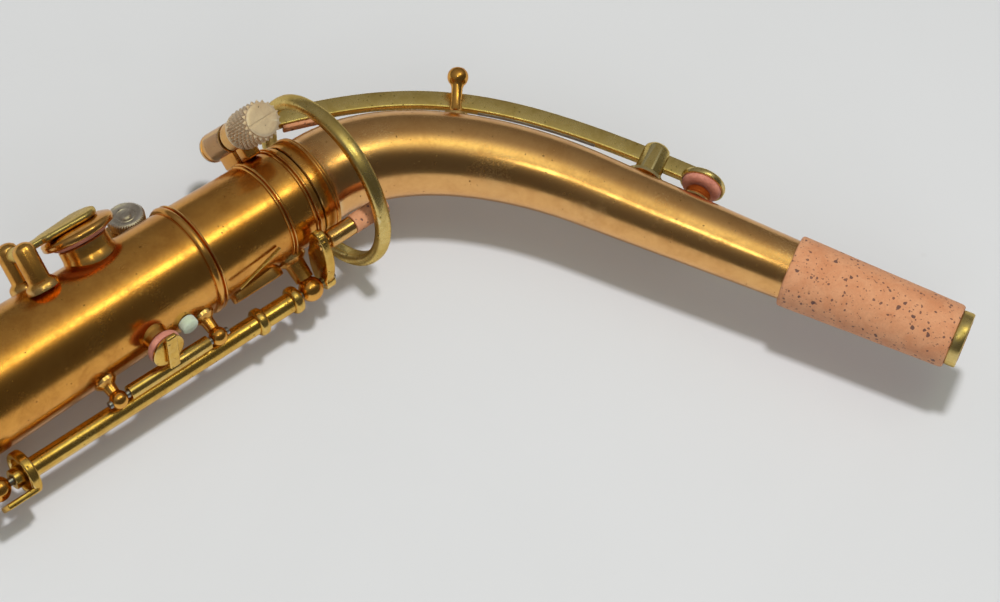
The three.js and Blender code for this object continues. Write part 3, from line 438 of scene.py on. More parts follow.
# %% Group: specks, small round spots of uneven size
knobs = {"Scale": 500.0, "Size": 0.2, "Share": 0.3}
specks, given, result = group_tree("Specks", knobs, ["Mask"])
place = node(specks, "ShaderNodeTexCoord").outputs["Object"]
noise = {"Vector": place, "Scale": 900.0, "Detail": 2.0}
warp = node(specks, "ShaderNodeTexNoise", noise).outputs[1]
shifted = node(specks, "ShaderNodeVectorMath", {0: warp, "Scale": 0.0009}, operation="SCALE")
moved = {0: place, 1: shifted.outputs[0]}
moved = node(specks, "ShaderNodeVectorMath", moved, operation="ADD").outputs[0]
cells = node(specks, "ShaderNodeTexVoronoi", {"Vector": moved, "Scale": given.outputs["Scale"]})
lottery = node(specks, "ShaderNodeSeparateColor", {0: cells.outputs["Color"]})
radius = math_node(specks, "MULTIPLY", lottery.outputs[1], given.outputs["Size"])
past_rim = math_node(specks, "SUBTRACT", cells.outputs["Distance"], radius)
inside = between(specks, past_rim, -0.03, 0.03, 1.0, 0.0)
chosen = math_node(specks, "LESS_THAN", lottery.outputs[0], given.outputs["Share"])
specks.links.new(math_node(specks, "MULTIPLY", inside, chosen), result.inputs[0])

# %% Group: rubbed edges, from how sharply the surface turns
knobs = {"Low": 0.52, "High": 0.60}
rubbed, given, result = group_tree("Rubbed edges", knobs, ["Mask"])
turning = node(rubbed, "ShaderNodeNewGeometry").outputs["Pointiness"]
place = node(rubbed, "ShaderNodeTexCoord").outputs["Object"]
noise = {"Vector": place, "Scale": 700.0, "Detail": 3.0}
grain = node(rubbed, "ShaderNodeTexNoise", noise).outputs[0]
grain = math_node(rubbed, "MULTIPLY", math_node(rubbed, "SUBTRACT", grain, 0.5), 0.06)
uneven = math_node(rubbed, "ADD", turning, grain)
mask = between(rubbed, uneven, given.outputs["Low"], given.outputs["High"])
rubbed.links.new(mask, result.inputs[0])
print("groups:", [g.name for g in bpy.data.node_groups])


# %% [markdown]
# Metal is almost all reflection. Its base colour is the colour of its mirror image, and the
# roughness decides how soft the image is. Old lacquer is amber and cloudy over the brass, so
# it gets brown clouds, dark specks and a clear coat. Satin key brass is paler and greener.
# %% Metal finishes
def effect(tree, group, **inputs):
    made = node(tree, "ShaderNodeGroup", node_tree=group)
    for key, value in inputs.items():
        made.inputs[key].default_value = value
    return made.outputs["Mask"]


def weighted(tree, *parts):
    """Adds up masks, each given with its weight."""
    total = None
    for mask, weight in parts:
        part = math_node(tree, "MULTIPLY", mask, weight)
        total = part if total is None else math_node(tree, "ADD", total, part)
    return total


def metal(name, bright, deep, bare, rough, cloud_scale=160.0, speck=(900.0, 0.22, 0.22),
          scratch=(260.0, 0.010), coat=0.0, dirt=0.75, edge=(1, 1, 1), metallic=1.0):
    """bright, deep and bare are the colours of clean, tarnished and rubbed metal. speck is
    (scale, size, share), scratch is (scale, width) and edge is the colour of grazing light."""
    material = bpy.data.materials.new(name)
    material.use_nodes = True
    tree = material.node_tree
    shader = tree.nodes["Principled BSDF"]
    shader.inputs["Metallic"].default_value = metallic
    shader.inputs["Specular Tint"].default_value = (*edge, 1)
    shader.inputs["Coat Weight"].default_value = coat
    shader.inputs["Coat Roughness"].default_value = 0.16
    broad = effect(tree, clouds, Scale=cloud_scale, Low=0.38, High=0.68)
    fine = effect(tree, clouds, Scale=cloud_scale * 7, Low=0.35, High=0.75)
    spots = effect(tree, specks, Scale=speck[0], Size=speck[1], Share=speck[2])
    lines = effect(tree, scratches, Scale=scratch[0], Width=scratch[1])
    edges = effect(tree, rubbed)
    tone = weighted(tree, (broad, 0.65), (fine, 0.35))
    dark = [c * 0.35 for c in deep]
    colour = blend_colour(tree, tone, (*bright, 1), (*deep, 1))
    for mask, weight, over in ((spots, dirt, dark), (edges, 0.6, bare), (lines, 0.35, bare)):
        colour = blend_colour(tree, weighted(tree, (mask, weight)), colour, (*over, 1))
    tree.links.new(colour, shader.inputs["Base Color"])
    softer = weighted(tree, (tone, 0.10), (spots, 0.25), (lines, 0.12))
    tree.links.new(math_node(tree, "ADD", softer, rough, clamp=True), shader.inputs["Roughness"])
    depth = weighted(tree, (fine, 0.25), (spots, -1.0), (lines, -0.5))
    bump = {"Height": depth, "Strength": 0.35, "Distance": 0.00003}
    tree.links.new(node(tree, "ShaderNodeBump", bump).outputs[0], shader.inputs["Normal"])
    return material


lacquer = metal("amber_lacquer", (0.82, 0.385, 0.07), (0.62, 0.26, 0.04), (0.90, 0.62, 0.25), 0.18,
                coat=0.3, edge=(0.85, 0.75, 0.62))
# The neck's lacquer is paler and yellower than the body's. Partly this is thinner, worn lacquer,
# and partly a painted highlight: the neck's brighter, yellower streak painted into its colour.
worn_highlit_lacquer = metal("worn_highlit_lacquer", (0.86, 0.47, 0.16), (0.72, 0.36, 0.11), (0.92, 0.74, 0.42),
                     0.18, coat=0.3, edge=(0.88, 0.80, 0.72))
key_brass = metal("satin_key_brass", (0.80, 0.60, 0.22), (0.58, 0.40, 0.11), (0.88, 0.76, 0.42),
                  0.25, speck=(1100.0, 0.3, 0.4), dirt=0.6, edge=(0.8, 0.7, 0.5))
post_brass = metal("golden_post_brass", (0.86, 0.44, 0.09), (0.62, 0.27, 0.05), (0.88, 0.65, 0.30),
                   0.18, coat=0.2, edge=(0.8, 0.65, 0.5))
lever_brass = metal("golden_lever_brass", (0.85, 0.55, 0.13), (0.60, 0.33, 0.06),
                    (0.88, 0.70, 0.34), 0.20,
                    speck=(1100.0, 0.3, 0.3), coat=0.1, edge=(0.8, 0.65, 0.5))
screw_brass = metal("pale_turned_brass", (0.84, 0.66, 0.44), (0.66, 0.46, 0.28), (0.95, 0.85, 0.66),
                    0.46, metallic=0.7)
steel = metal("blued_steel", (0.42, 0.41, 0.40), (0.26, 0.24, 0.22), (0.62, 0.60, 0.57), 0.28)
nickel = metal("worn_nickel", (0.74, 0.66, 0.55), (0.46, 0.38, 0.30), (0.85, 0.78, 0.68), 0.34)
print("metals:", lacquer.name, key_brass.name, post_brass.name, steel.name, nickel.name)


# %% [markdown]
# Cork is cut from bark. Its pores run through the sheet as dark pits, many small and a few
# long, and the ground between them is fine-grained and uneven in colour. The pits are sunk.
# %% Cork, leather and felt
def soft_finish(name, ground, patches, pits, rough, pit_sizes, grain_scale, grain_depth, sheen=0.0):
    """pit_sizes lists (scale, size, share, darkness) for each kind of pit."""
    material = bpy.data.materials.new(name)
    material.use_nodes = True
    tree = material.node_tree
    shader = tree.nodes["Principled BSDF"]
    shader.inputs["Roughness"].default_value = rough
    shader.inputs["Sheen Weight"].default_value = sheen
    shader.inputs["Sheen Roughness"].default_value = 0.5
    broad = effect(tree, clouds, Scale=grain_scale * 0.12, Low=0.35, High=0.7)
    fine = effect(tree, clouds, Scale=grain_scale, Low=0.3, High=0.75)
    grain = [c * 0.62 for c in ground]
    colour = blend_colour(tree, broad, (*ground, 1), (*patches, 1))
    colour = blend_colour(tree, weighted(tree, (fine, 0.30)), colour, (*grain, 1))
    depth = weighted(tree, (fine, -grain_depth))
    for scale, size, share, darkness in pit_sizes:
        holes = effect(tree, specks, Scale=scale, Size=size, Share=share)
        colour = blend_colour(tree, weighted(tree, (holes, darkness)), colour, (*pits, 1))
        depth = math_node(tree, "SUBTRACT", depth, holes)
    tree.links.new(colour, shader.inputs["Base Color"])
    bump = {"Height": depth, "Strength": 0.8, "Distance": 0.00012}
    tree.links.new(node(tree, "ShaderNodeBump", bump).outputs[0], shader.inputs["Normal"])
    return material


CORK_PITS = [(520.0, 0.34, 0.42, 0.85), (1000.0, 0.42, 0.34, 0.75), (1700.0, 0.42, 0.30, 0.5)]
cork = soft_finish("sheet_cork", (0.68, 0.325, 0.165), (0.60, 0.25, 0.115), (0.085, 0.045, 0.045),
                   0.62, CORK_PITS, 1900.0, 0.35)
leather = soft_finish("pad_leather", (0.70, 0.29, 0.20), (0.50, 0.17, 0.12), (0.30, 0.10, 0.07),
                      0.55, [(2600.0, 0.30, 0.5, 0.35)], 3200.0, 0.35, sheen=0.1)
felt = soft_finish("green_felt", (0.55, 0.64, 0.44), (0.62, 0.70, 0.55), (0.35, 0.42, 0.25), 0.95,
                   [(3000.0, 0.35, 0.4, 0.4)], 4200.0, 0.8, sheen=0.6)
print("soft finishes:", cork.name, leather.name, felt.name)


# %% [markdown]
# The horn lies on a pale board. It is one large sheet, faintly blotchy and a little worn.
# %% Floor
bpy.ops.object.select_all(action="DESELECT")
bpy.ops.mesh.primitive_plane_add(size=6, location=(0, 0, 0))
floor = bpy.context.object
floor.name = "pale_board"
board = bpy.data.materials.new("pale_board")
board.use_nodes = True
tree = board.node_tree
shade = effect(tree, clouds, Scale=9.0, Low=0.3, High=0.7)
marks = effect(tree, specks, Scale=70.0, Size=0.07, Share=0.06)
colour = blend_colour(tree, shade, (0.650, 0.660, 0.672, 1), (0.662, 0.672, 0.686, 1))
colour = blend_colour(tree, weighted(tree, (marks, 0.12)), colour, (0.50, 0.49, 0.47, 1))
tree.links.new(colour, tree.nodes["Principled BSDF"].inputs["Base Color"])
tree.nodes["Principled BSDF"].inputs["Roughness"].default_value = 0.55
floor.data.materials.append(board)


# %% [markdown]
# Setting a piece down scales it from millimetres, shades it smooth except at real edges, gives
# it its material, ties it to the body that it moves with and hides the CAD nodes it stands for.
# %% Setting down
def settle(piece, body, material, slot, *stands_for, angle=30):
    apply_place(piece, SET_DOWN)
    alone(piece)
    bpy.ops.object.shade_smooth_by_angle(angle=math.radians(angle))
    piece.data.materials.clear()
    piece.data.materials.append(material)
    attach(piece, body)
    if stands_for:
        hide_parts(*stands_for)
    sides = sum(len(p.vertices) - 2 for p in piece.data.polygons)
    print(f"{piece.name}: {sides} triangles")
    return piece


# %% [markdown]
# ## Body tube and receiver
# The body is a tapered tube. The receiver sleeve goes into it, and a ring of brass covers the
# seam. Two tone holes are cut with round cutters, where the two keys close on them.
# %% Body tube
SEAM = -35.5
TOP_RADIUS, TAPER, BODY_WALL = 13.3, 0.026, 1.2
BEADS = (-12.2, -4.4)
SOCKET_TOP = -2.2
TENON_RADIUS = 11.5


def body_radius(x):
    return TOP_RADIUS + TAPER * (BEADS[0] - x)


def radial(angle):
    return Vector((0, math.cos(math.radians(angle)), math.sin(math.radians(angle))))


def across(angle):
    return Vector((0, -math.sin(math.radians(angle)), math.cos(math.radians(angle))))


def stations(start, end, count):
    return [start + (end - start) * i / count for i in range(count + 1)]


SIDE = {"x": -57.2, "angle": 37, "bore": 5.6, "wall": 1.0, "rise": 3.6}
LOW = {"x": -56.5, "angle": 168.5, "bore": 2.6, "wall": 0.8, "rise": 2.4}

outside = [(x, body_radius(x)) for x in stations(BODY_END, SEAM, 36)]
inside_wall = [(x, radius - BODY_WALL) for x, radius in reversed(outside)]
body_tube = lathe("body_tube_wall", outside + inside_wall + outside[:1], steps=ROUND)
soften(body_tube, 0.2, 2, 60)
holes = [rod("hole", 5, 25, key["bore"], Vector((key["x"], 0, 0)), radial(key["angle"]), 64)
         for key in (SIDE, LOW)]
carve(body_tube, *holes)
settle(body_tube, "horn", lacquer, "lacquer", "body_tube")

# %% Seam ring: a wide and a narrow ridge side by side
base = body_radius(SEAM) + 0.1
middle = SEAM + GAP / 2
seam_profile = [(middle - 1.6, base)] + ridge(middle - 0.45, base, 2.1, 0.95)
seam_profile += ridge(middle + 1.05, base, 0.8, 0.75) + [(middle + 1.6, base)]
seam_profile += [(middle + 1.5, base - 0.3), (middle - 1.5, base - 0.3), (middle - 1.6, base)]
seam_ring = lathe("seam_ring", seam_profile, steps=ROUND)
settle(seam_ring, "horn", lacquer, "lacquer", "body_ring")

# %% [markdown]
# The receiver is a turned sleeve with two pairs of fine ridges. Its clamp is two round lugs on
# a common line, one on each side of a saw cut. The screw pulls them together.
# %% Receiver
CLAMP_AT, CLAMP_OFF = -8.1, 20
LUG_RADIUS, WEB_WIDTH, SAW_WIDTH = 3.9, 4.2, 1.2
clamp_axis = Vector((0.08, -0.46, 0.88)).normalized()
clamp_out = Vector((0, clamp_axis.z, -clamp_axis.y)).normalized()
clamp_side = clamp_axis.cross(clamp_out)
clamp_centre = clamp_out * CLAMP_OFF + X * CLAMP_AT
bore = TENON_RADIUS + GAP
sleeve_radius = body_radius(SEAM) - BODY_WALL - GAP
profile = [(SEAM - 10, bore), (SEAM - 10, sleeve_radius), (SEAM + GAP, sleeve_radius)]
profile += [(x, body_radius(x)) for x in stations(SEAM + GAP, BEADS[0] - 1.4, 8)]
for bead in BEADS:
    for shift, width, height in ((-0.45, 0.75, 0.45), (0.45, 0.85, 0.62)):
        profile += ridge(bead + shift, body_radius(bead), width, height)
    if bead == BEADS[0]:
        profile += [(x, body_radius(x)) for x in stations(BEADS[0] + 1.5, BEADS[1] - 1.5, 4)]
profile += [(SOCKET_TOP - 0.25, body_radius(SOCKET_TOP)),
            (SOCKET_TOP, body_radius(SOCKET_TOP) - 0.25)]
profile += [(SOCKET_TOP, bore)] + [(x, bore) for x in stations(SOCKET_TOP - 4, SEAM - 10, 10)]
receiver = lathe("receiver", profile, steps=ROUND)


def clamp_lug(start, end, ends):
    """A round lug with a web below it; ends is the profile of its outer face."""
    barrel = lathe("lug", ends, clamp_centre, clamp_axis, 72)
    height = CLAMP_OFF - 13
    web = block("web", (WEB_WIDTH, end - start, height), (0, (start + end) / 2, -height / 2),
                basis(clamp_side, clamp_axis, clamp_out, clamp_centre))
    return fuse(barrel, soften(web, 0.8, 4))


far_face = [(-0.6, 0), (-0.6, 3.7), (-0.8, LUG_RADIUS), (-11.4, LUG_RADIUS), (-11.5, 3.65),
            (-11.8, 3.65), (-11.9, LUG_RADIUS), (-12.9, 3.85), (-13.6, 3.4), (-14.0, 2.5),
            (-14.0, 0)]
near_face = [(0.6, 0), (0.6, 3.7), (0.8, LUG_RADIUS), (5.2, LUG_RADIUS), (5.6, 3.5), (5.6, 0)]
fuse(receiver, clamp_lug(-9.6, -0.6, far_face), clamp_lug(0.6, 5.0, near_face))
bore_cutter = rod("bore", 2 * SEAM, -SEAM, bore - 0.01, steps=ROUND)
shank_cutter = rod("shank", -13, 13, 2.1, clamp_centre, clamp_axis, 40)
saw_cut = block("saw_cut", (20, SAW_WIDTH, 16), (SOCKET_TOP - 6, 0, 0),
                basis(X, Vector((0, -clamp_out.z, clamp_out.y)), clamp_out,
                      clamp_out * (CLAMP_OFF - 4)))
carve(receiver, bore_cutter, shank_cutter, saw_cut)
settle(receiver, "horn", lacquer, "lacquer", "neck_socket")

# %% [markdown]
# The clamp screw's head is knurled, so that fingers can grip it. A knurling wheel presses two
# crossing sets of grooves and leaves rows of small pyramids. They are real shape here: each
# vertex of the turned head moves out by how far it is from the nearest groove.
# %% Clamp screw
HEAD_RADIUS, HEAD_TOP = 4.4, 19.2
KNURLS, KNURL_DEPTH, KNURL_FROM, KNURL_TO = 20, 0.92, 7.7, 18.3


def tooth(x):
    """0 in a groove and 1 midway between two."""
    return 1 - 2 * abs(x - math.floor(x) - 0.5)


head = [(6.4, 0), (6.4, 4.5), (6.7, 4.85), (7.3, 4.9), (7.55, HEAD_RADIUS)]
head += [(x, HEAD_RADIUS) for x in stations(KNURL_FROM, KNURL_TO, 84)]
head += [(18.45, HEAD_RADIUS), (18.95, 4.35), (19.15, 3.9), (HEAD_TOP, 3.6), (19.12, 2.4),
         (19.16, 1.2), (HEAD_TOP, 0)]
clamp_screw = lathe("clamp_screw_head", head, ORIGIN, Z, KNURLS * 8)
for v in clamp_screw.data.vertices:
    if KNURL_FROM + 0.05 < v.co.z < KNURL_TO - 0.05 and v.co.xy.length > HEAD_RADIUS - 0.05:
        around = math.atan2(v.co.y, v.co.x) / (2 * math.pi) * KNURLS
        along = (v.co.z - KNURL_FROM) * 0.6 * KNURLS / (2 * math.pi * HEAD_RADIUS)
        rise = KNURL_DEPTH * min(tooth(around + along), tooth(around - along))
        v.co = (v.co.xy.normalized() * (HEAD_RADIUS - 0.05 + rise)).to_3d() + Z * v.co.z
stand(clamp_screw, clamp_centre, clamp_axis)
slot_dir = (X - clamp_axis * X.dot(clamp_axis)).normalized()
slot_frame = basis(slot_dir, clamp_axis.cross(slot_dir), clamp_axis,
                   clamp_centre + clamp_axis * HEAD_TOP)
driver_slot = block("driver_slot", (11, 0.7, 0.7), ORIGIN, slot_frame)
carve(clamp_screw, driver_slot)
shank = rod("clamp_shank", -12.2, 6.6, 1.8, clamp_centre, clamp_axis)
settle(clamp_screw, "clamp_screw", screw_brass, "pale_brass", "clamp_screw", angle=20)
settle(shank, "clamp_screw", screw_brass, "pale_brass")

# %% [markdown]
# ## Neck
# The neck is one conical tube. It is turned straight, with a wall, and then bent. The bend is
# in its first half, and the rest runs straight to the cork.
# %% Neck line
BEND = math.radians(62.5)
straight_dir = Vector((math.cos(BEND), -math.sin(BEND), 0))
straight_out = Vector((math.sin(BEND), math.cos(BEND), 0))
bend_start = Vector((6, 0, 0))
bend_end = Vector((36.6, 0, 0)) + straight_dir * 48.7
CORK_START, CORK_LENGTH = 54.1, 44.1
TIP = CORK_START + CORK_LENGTH + GAP + 2.7


def on_straight(along, off, z=0.0):
    return bend_end + straight_dir * along + straight_out * off + Z * z


bend_knots = (bend_start, bend_start + X * 19, bend_end - straight_dir * 29, bend_end)
tip = on_straight(TIP, 0)
neck_start = Vector((3.2, 0, 0))
third = (tip - bend_end) / 3
neck_curve = bezier("neck_line", [
    (neck_start, neck_start - X, neck_start + X * 0.9),
    (bend_start, bend_start - X * 0.9, bend_knots[1]),
    (bend_end, bend_knots[2], bend_end + third),
    (tip, tip - third, tip + third),
])
BEND_LENGTH = length_to(bend_knots, 1.0)
NECK_LENGTH = bend_start.x - neck_start.x + BEND_LENGTH + TIP
print("neck is", round(NECK_LENGTH, 1), "mm along its middle")


def neck_radius(along):
    return 11.75 + (6.4 - 11.75) * along / NECK_LENGTH


def straight_radius(along):
    return neck_radius(NECK_LENGTH - TIP + along)


# %% Neck tube
marks = stations(0, NECK_LENGTH, 110)
outside = [(x, neck_radius(x)) for x in marks]
inside_wall = [(x, neck_radius(x) - 0.8) for x in reversed(marks)]
neck_tube = lathe("neck_tube_wall", outside + inside_wall + outside[:1], steps=ROUND)
bend(neck_tube, neck_curve)
# The neck wears the paler lacquer, partly worn and partly a painted highlight.
settle(neck_tube, "neck", worn_highlit_lacquer, "lacquer", "neck_tube")

# %% Tenon and collar
tenon = pipe("tenon", -26.9, 2.9, TENON_RADIUS, TENON_RADIUS - 0.9, steps=ROUND)
soften(tenon, 0.15, 2)
settle(tenon, "neck", key_brass, "key_brass", "neck_tenon")
collar_start = SOCKET_TOP + GAP
inner = TENON_RADIUS + 0.05
profile = [(collar_start, inner), (collar_start, 12.9), (collar_start + 0.2, 13.1),
           (collar_start + 0.6, 13.1)]
profile += [(1.2, 13.1)] + ridge(1.7, 13.05, 0.7, 0.28) + ridge(2.45, 12.85, 0.6, 0.25)
profile += [(2.9, 12.5), (3.1, 11.95), (3.4, 11.78), (3.4, inner), (collar_start, inner)]
collar = lathe("neck_collar_ring", profile, steps=ROUND)
settle(collar, "neck", lacquer, "lacquer", "neck_collar")

# %% [markdown]
# The cork is a sheet wrapped round the small end and sanded to a slight taper. Its edges are
# rounded and its surface is never quite even. A thin brass ring closes the tip.
# %% Cork and tip ring
cork_end = CORK_START + CORK_LENGTH
profile = [(CORK_START, straight_radius(CORK_START) + 0.02), (CORK_START, 8.7),
           (CORK_START + 0.15, 9.05), (CORK_START + 0.5, 9.25)]
profile += [(x, 9.3 - (x - CORK_START) / CORK_LENGTH)
            for x in stations(CORK_START + 1, cork_end - 0.9, 60)]
profile += [(cork_end - 0.4, 8.2), (cork_end, 7.9), (cork_end, straight_radius(cork_end) + 0.02),
            (CORK_START, straight_radius(CORK_START) + 0.02)]
cork_sleeve = lathe("cork_sleeve", profile, bend_end, straight_dir, steps=ROUND)
uneven = bpy.data.textures.new("hand_sanding", "CLOUDS")
uneven.noise_scale = 6
modify(cork_sleeve, "DISPLACE", texture=uneven, strength=0.18, mid_level=0.5)
settle(cork_sleeve, "neck", cork, "cork", "neck_cork")
ring_inner = straight_radius(cork_end) + 0.02
tip_profile = [(cork_end + 0.1, ring_inner), (cork_end + 0.1, 7.1), (cork_end + 0.4, 7.2),
               (TIP - 0.5, 7.2), (TIP - 0.1, 7.05), (TIP, 6.8), (TIP, 5.65), (TIP - 0.4, 5.58),
               (cork_end + 0.1, 5.58), (cork_end + 0.1, ring_inner)]
tip_ring = lathe("tip_ring_cap", tip_profile, bend_end, straight_dir, steps=ROUND)
settle(tip_ring, "neck", key_brass, "key_brass", "tip_ring")

# %% [markdown]
# ## Octave key
# The key is one long bar. Its ring goes round the neck's foot, where a pin can push it from any
# side, and its far end carries a small cup and pad over the vent. It rocks on a slotted post.
# %% Vent pip, pad and cup
VENT, PIVOT, PIVOT_OFF = 25, 11, 15.5
vent_foot = on_straight(VENT, 0)
pip_top = straight_radius(VENT) + 3.1
surface = straight_radius(VENT)
profile = [(surface - 0.7, 1.1), (surface - 0.7, 4.1), (surface + 0.1, 4.0), (surface + 0.5, 3.7),
           (surface + 0.9, 3.45),
           (pip_top - 0.9, 3.4), (pip_top - 0.4, 3.1), (pip_top - 0.1, 2.5), (pip_top, 1.9),
           (pip_top, 1.2), (pip_top - 0.2, 1.1), (surface - 0.7, 1.1)]
pip = lathe("vent_pip", profile, vent_foot, straight_out, 72)
settle(pip, "neck", post_brass, "lacquer", "octave_pip")
seat = pip_top + GAP
profile = [(seat + 0.35, 0), (seat + 0.3, 0.8), (seat + 0.12, 1.9), (seat + 0.2, 2.3), (seat, 3.2),
           (seat + 0.1, 4.4),
           (seat + 0.45, 5.0), (seat + 0.9, 5.2), (seat + 1.9, 5.2), (seat + 1.9, 0)]
vent_pad = lathe("vent_pad", profile, vent_foot, straight_out, 96)
settle(vent_pad, "octave_key", leather, "leather", "octave_pad", angle=60)
floor_at, rim = seat + 2.2, seat + 1.3
profile = [(floor_at, 0), (floor_at, 5.3), (rim + 0.1, 5.3), (rim, 5.4), (rim, 5.75),
           (rim + 0.15, 5.9), (floor_at + 0.3, 5.95),
           (floor_at + 0.7, 5.75), (floor_at + 1.0, 5.2), (floor_at + 1.2, 4.3),
           (floor_at + 1.35, 2.5), (floor_at + 1.4, 0)]
vent_cup = lathe("vent_cup", profile, vent_foot, straight_out, 96)
settle(vent_cup, "octave_key", key_brass, "key_brass", "octave_cup", angle=50)

# %% Arm, bent flat bar from the ring to the cup
arm_knots = tuple(Vector((*p, 0)) for p in ((6.2, 20.6), (45.8, 7.2), (60.4, -9.2), (84.2, -58)))
arm_curve = bezier("arm_line", [(arm_knots[0], arm_knots[0] - X, arm_knots[1]),
                                (arm_knots[3], arm_knots[2], arm_knots[3] + straight_dir)])
ARM_HEIGHT, ARM_WIDTH = 4.9, 2.2
arm = bar("octave_arm_bar", 0.6, length_to(arm_knots, 1.0) - 0.4, ARM_HEIGHT, ARM_WIDTH,
          rounding=0.55)
bend(arm, arm_curve)
carve(arm, rod("cup_room", 5, floor_at + 1.1, 5.6, vent_foot, straight_out, 64),
      rod("past", -2, 40, 12, on_straight(VENT + 11, 0), straight_out, 48))
settle(arm, "octave_key", key_brass, "key_brass", "octave_arm", angle=40)
under = -(ARM_HEIGHT / 2 + 0.3)
bumper = bar("bumper_cork", length_to(arm_knots, 0.02), length_to(arm_knots, 0.11), 1.1, ARM_WIDTH,
             under - 0.4, 0.3, 24)
bend(bumper, arm_curve)
settle(bumper, "octave_key", cork, "cork", "octave_bumper_cork", angle=50)
spring = bar("arm_spring", length_to(arm_knots, 0.52), length_to(arm_knots, 0.80), 0.3, 1.0,
             under + 0.18, 0.08, 60)
bend(spring, arm_curve)
settle(spring, "octave_key", steel, "steel", "octave_spring", angle=40)

# %% Ring, a rounded flat rod turned round the neck
ring_axis = Vector((1, 0.02, -0.05)).normalized()
RING_RADIUS, HALF_WIDTH, HALF_THICK = 22.3, 1.95, 1.7
SIDES, SQUARENESS = 32, 0.72
section = []
for i in range(SIDES + 1):
    turn = 2 * math.pi * (i % SIDES) / SIDES
    c, s = math.cos(turn), math.sin(turn)
    section.append((HALF_WIDTH * math.copysign(abs(c) ** SQUARENESS, c),
                    RING_RADIUS + HALF_THICK * math.copysign(abs(s) ** SQUARENESS, s)))
octave_ring = lathe("octave_ring_rod", section, Vector((6.5, -1.6, 0)), ring_axis, 200)
settle(octave_ring, "octave_key", key_brass, "key_brass", "octave_ring", angle=60)

# %% [markdown]
# The hinge post was filed from a bar, so it has flats, and its slot straddles the arm. An
# eight-sided lathe gives the flats. A small bevel then catches the light along each edge.
# %% Hinge post and screw
surface = straight_radius(PIVOT)
post_foot = on_straight(PIVOT, 0)
top = PIVOT_OFF + 3.9
hinge_post = rod("hinge_post", surface - 0.5, top + 1, 3.75, post_foot, straight_out, 8)
soften(hinge_post, 0.3, 3, 20)
profile = [(surface - 0.6, 0), (surface - 0.6, 3.65), (top - 1.9, 3.65), (top - 0.9, 3.35),
           (top - 0.2, 2.7), (top + 0.15, 1.6), (top + 0.3, 0)]
dome = lathe("dome", profile, post_foot, straight_out, 96)
modify(hinge_post, "BOOLEAN", operation="INTERSECT", object=dome, solver="EXACT")
bpy.data.objects.remove(dome)
flange = [(surface - 0.9, 0), (surface - 0.9, 5.3), (surface + 0.1, 5.1), (surface + 0.45, 4.7),
          (surface + 0.9, 3.9), (surface + 1.3, 3.3), (surface + 1.3, 0)]
fuse(hinge_post, lathe("flange", flange, post_foot, straight_out, 64))
throat = block("throat", (30, 20, ARM_WIDTH + 0.6), (0, surface + 12.1, 0),
               basis(straight_dir, straight_out, Z, post_foot))
pivot = on_straight(PIVOT, PIVOT_OFF)
carve(hinge_post, throat, rod("hinge_hole", -10, 3.0, 1.0, pivot, Z, 32))
settle(hinge_post, "neck", key_brass, "key_brass", "octave_saddle", angle=35)
head = [(-2.9, 0), (-2.9, 0.75), (-2.75, 0.93), (3.3, 0.93), (3.3, 1.75), (3.45, 1.85),
        (3.8, 1.7), (4.1, 1.0), (4.15, 0)]
hinge_screw = lathe("hinge_screw", head, pivot, -Z, 48)
carve(hinge_screw, block("cut", (5, 0.45, 1.0), (0, 0, -4.3), Matrix.Translation(pivot)))
settle(hinge_screw, "neck", steel, "steel", "octave_hinge_screw")

# %% Guide post with a ball, beside the arm
bend_line = geometry.interpolate_bezier(*bend_knots, 2001)
GUIDE = 0.55
guide_foot = bend_line[round(GUIDE * 2000)]
tangent = (bend_line[round(GUIDE * 2000) + 1] - guide_foot).normalized()
guide_out = Matrix.Rotation(math.radians(14.5), 3, tangent) @ Vector((-tangent.y, tangent.x, 0))
surface = neck_radius(bend_start.x - neck_start.x + GUIDE * BEND_LENGTH)
BALL, REACH = 2.68, 20.9
profile = [(surface - 0.8, 0), (surface - 0.8, 3.6), (surface + 0.2, 3.4), (surface + 0.5, 2.8),
           (surface + 0.9, 2.1),
           (surface + 1.5, 1.75), (surface + 3.0, 1.42), (REACH - 3.0, 1.42), (REACH - 2.5, 1.6)]
turns = [math.radians(a) for a in range(-50, 51, 10)]
profile += [(REACH + BALL * math.sin(t), BALL * math.cos(t)) for t in turns]
profile += [(REACH + 2.15, 1.55), (REACH + 2.3, 1.2), (REACH + 2.35, 0)]
guide_post = lathe("guide_post", profile, guide_foot, guide_out, 64)
settle(guide_post, "neck", post_brass, "key_brass", "octave_guide_post")

# %% [markdown]
# ## Posts and keys beside the body
# Round posts stand on the body on flared feet. Each ends in a ball that is drilled for a rod.
# One function draws them all, and each copy has its own place and size.
# %% Ball posts
LEVER = Vector((0, -20.4, -9.2))
LOW_ROD = radial(191) * 20.4


def ball_post(name, x, line, stem, ball, hole):
    reach = line.length
    foot = body_radius(x)
    shape = [(foot - 0.7, 0), (foot - 0.7, stem + 1.5), (foot + 0.5, stem + 1.35),
             (foot + 1.0, stem + 0.8),
             (foot + 1.5, stem + 0.15), (foot + 2.1, stem), (reach - ball * 0.86, stem * 0.93)]
    turns = [math.radians(a) for a in range(-54, 90, 9)]
    shape += [(reach + ball * math.sin(t), ball * math.cos(t)) for t in turns]
    shape.append((reach + ball, 0))
    post = lathe(name, shape, Vector((x, 0, 0)), line.normalized(), 72)
    return carve(post, rod("hole", -12, 12, hole, Vector((x, 0, 0)) + line, X, 32))


for name, x, stem in (("lever_post_lower", -107.6, 2.2), ("lever_post_upper", -12.2, 2.6)):
    settle(ball_post(name + "_turned", x, LEVER, stem, 3.2, 1.15), "horn", post_brass, "key_brass",
           name)
for name, x in (("low_key_post_lower", -71.5), ("low_key_post_upper", -41.2)):
    settle(ball_post(name + "_turned", x, LOW_ROD, 1.7, 2.4, 1.05), "horn", post_brass, "key_brass",
           name)

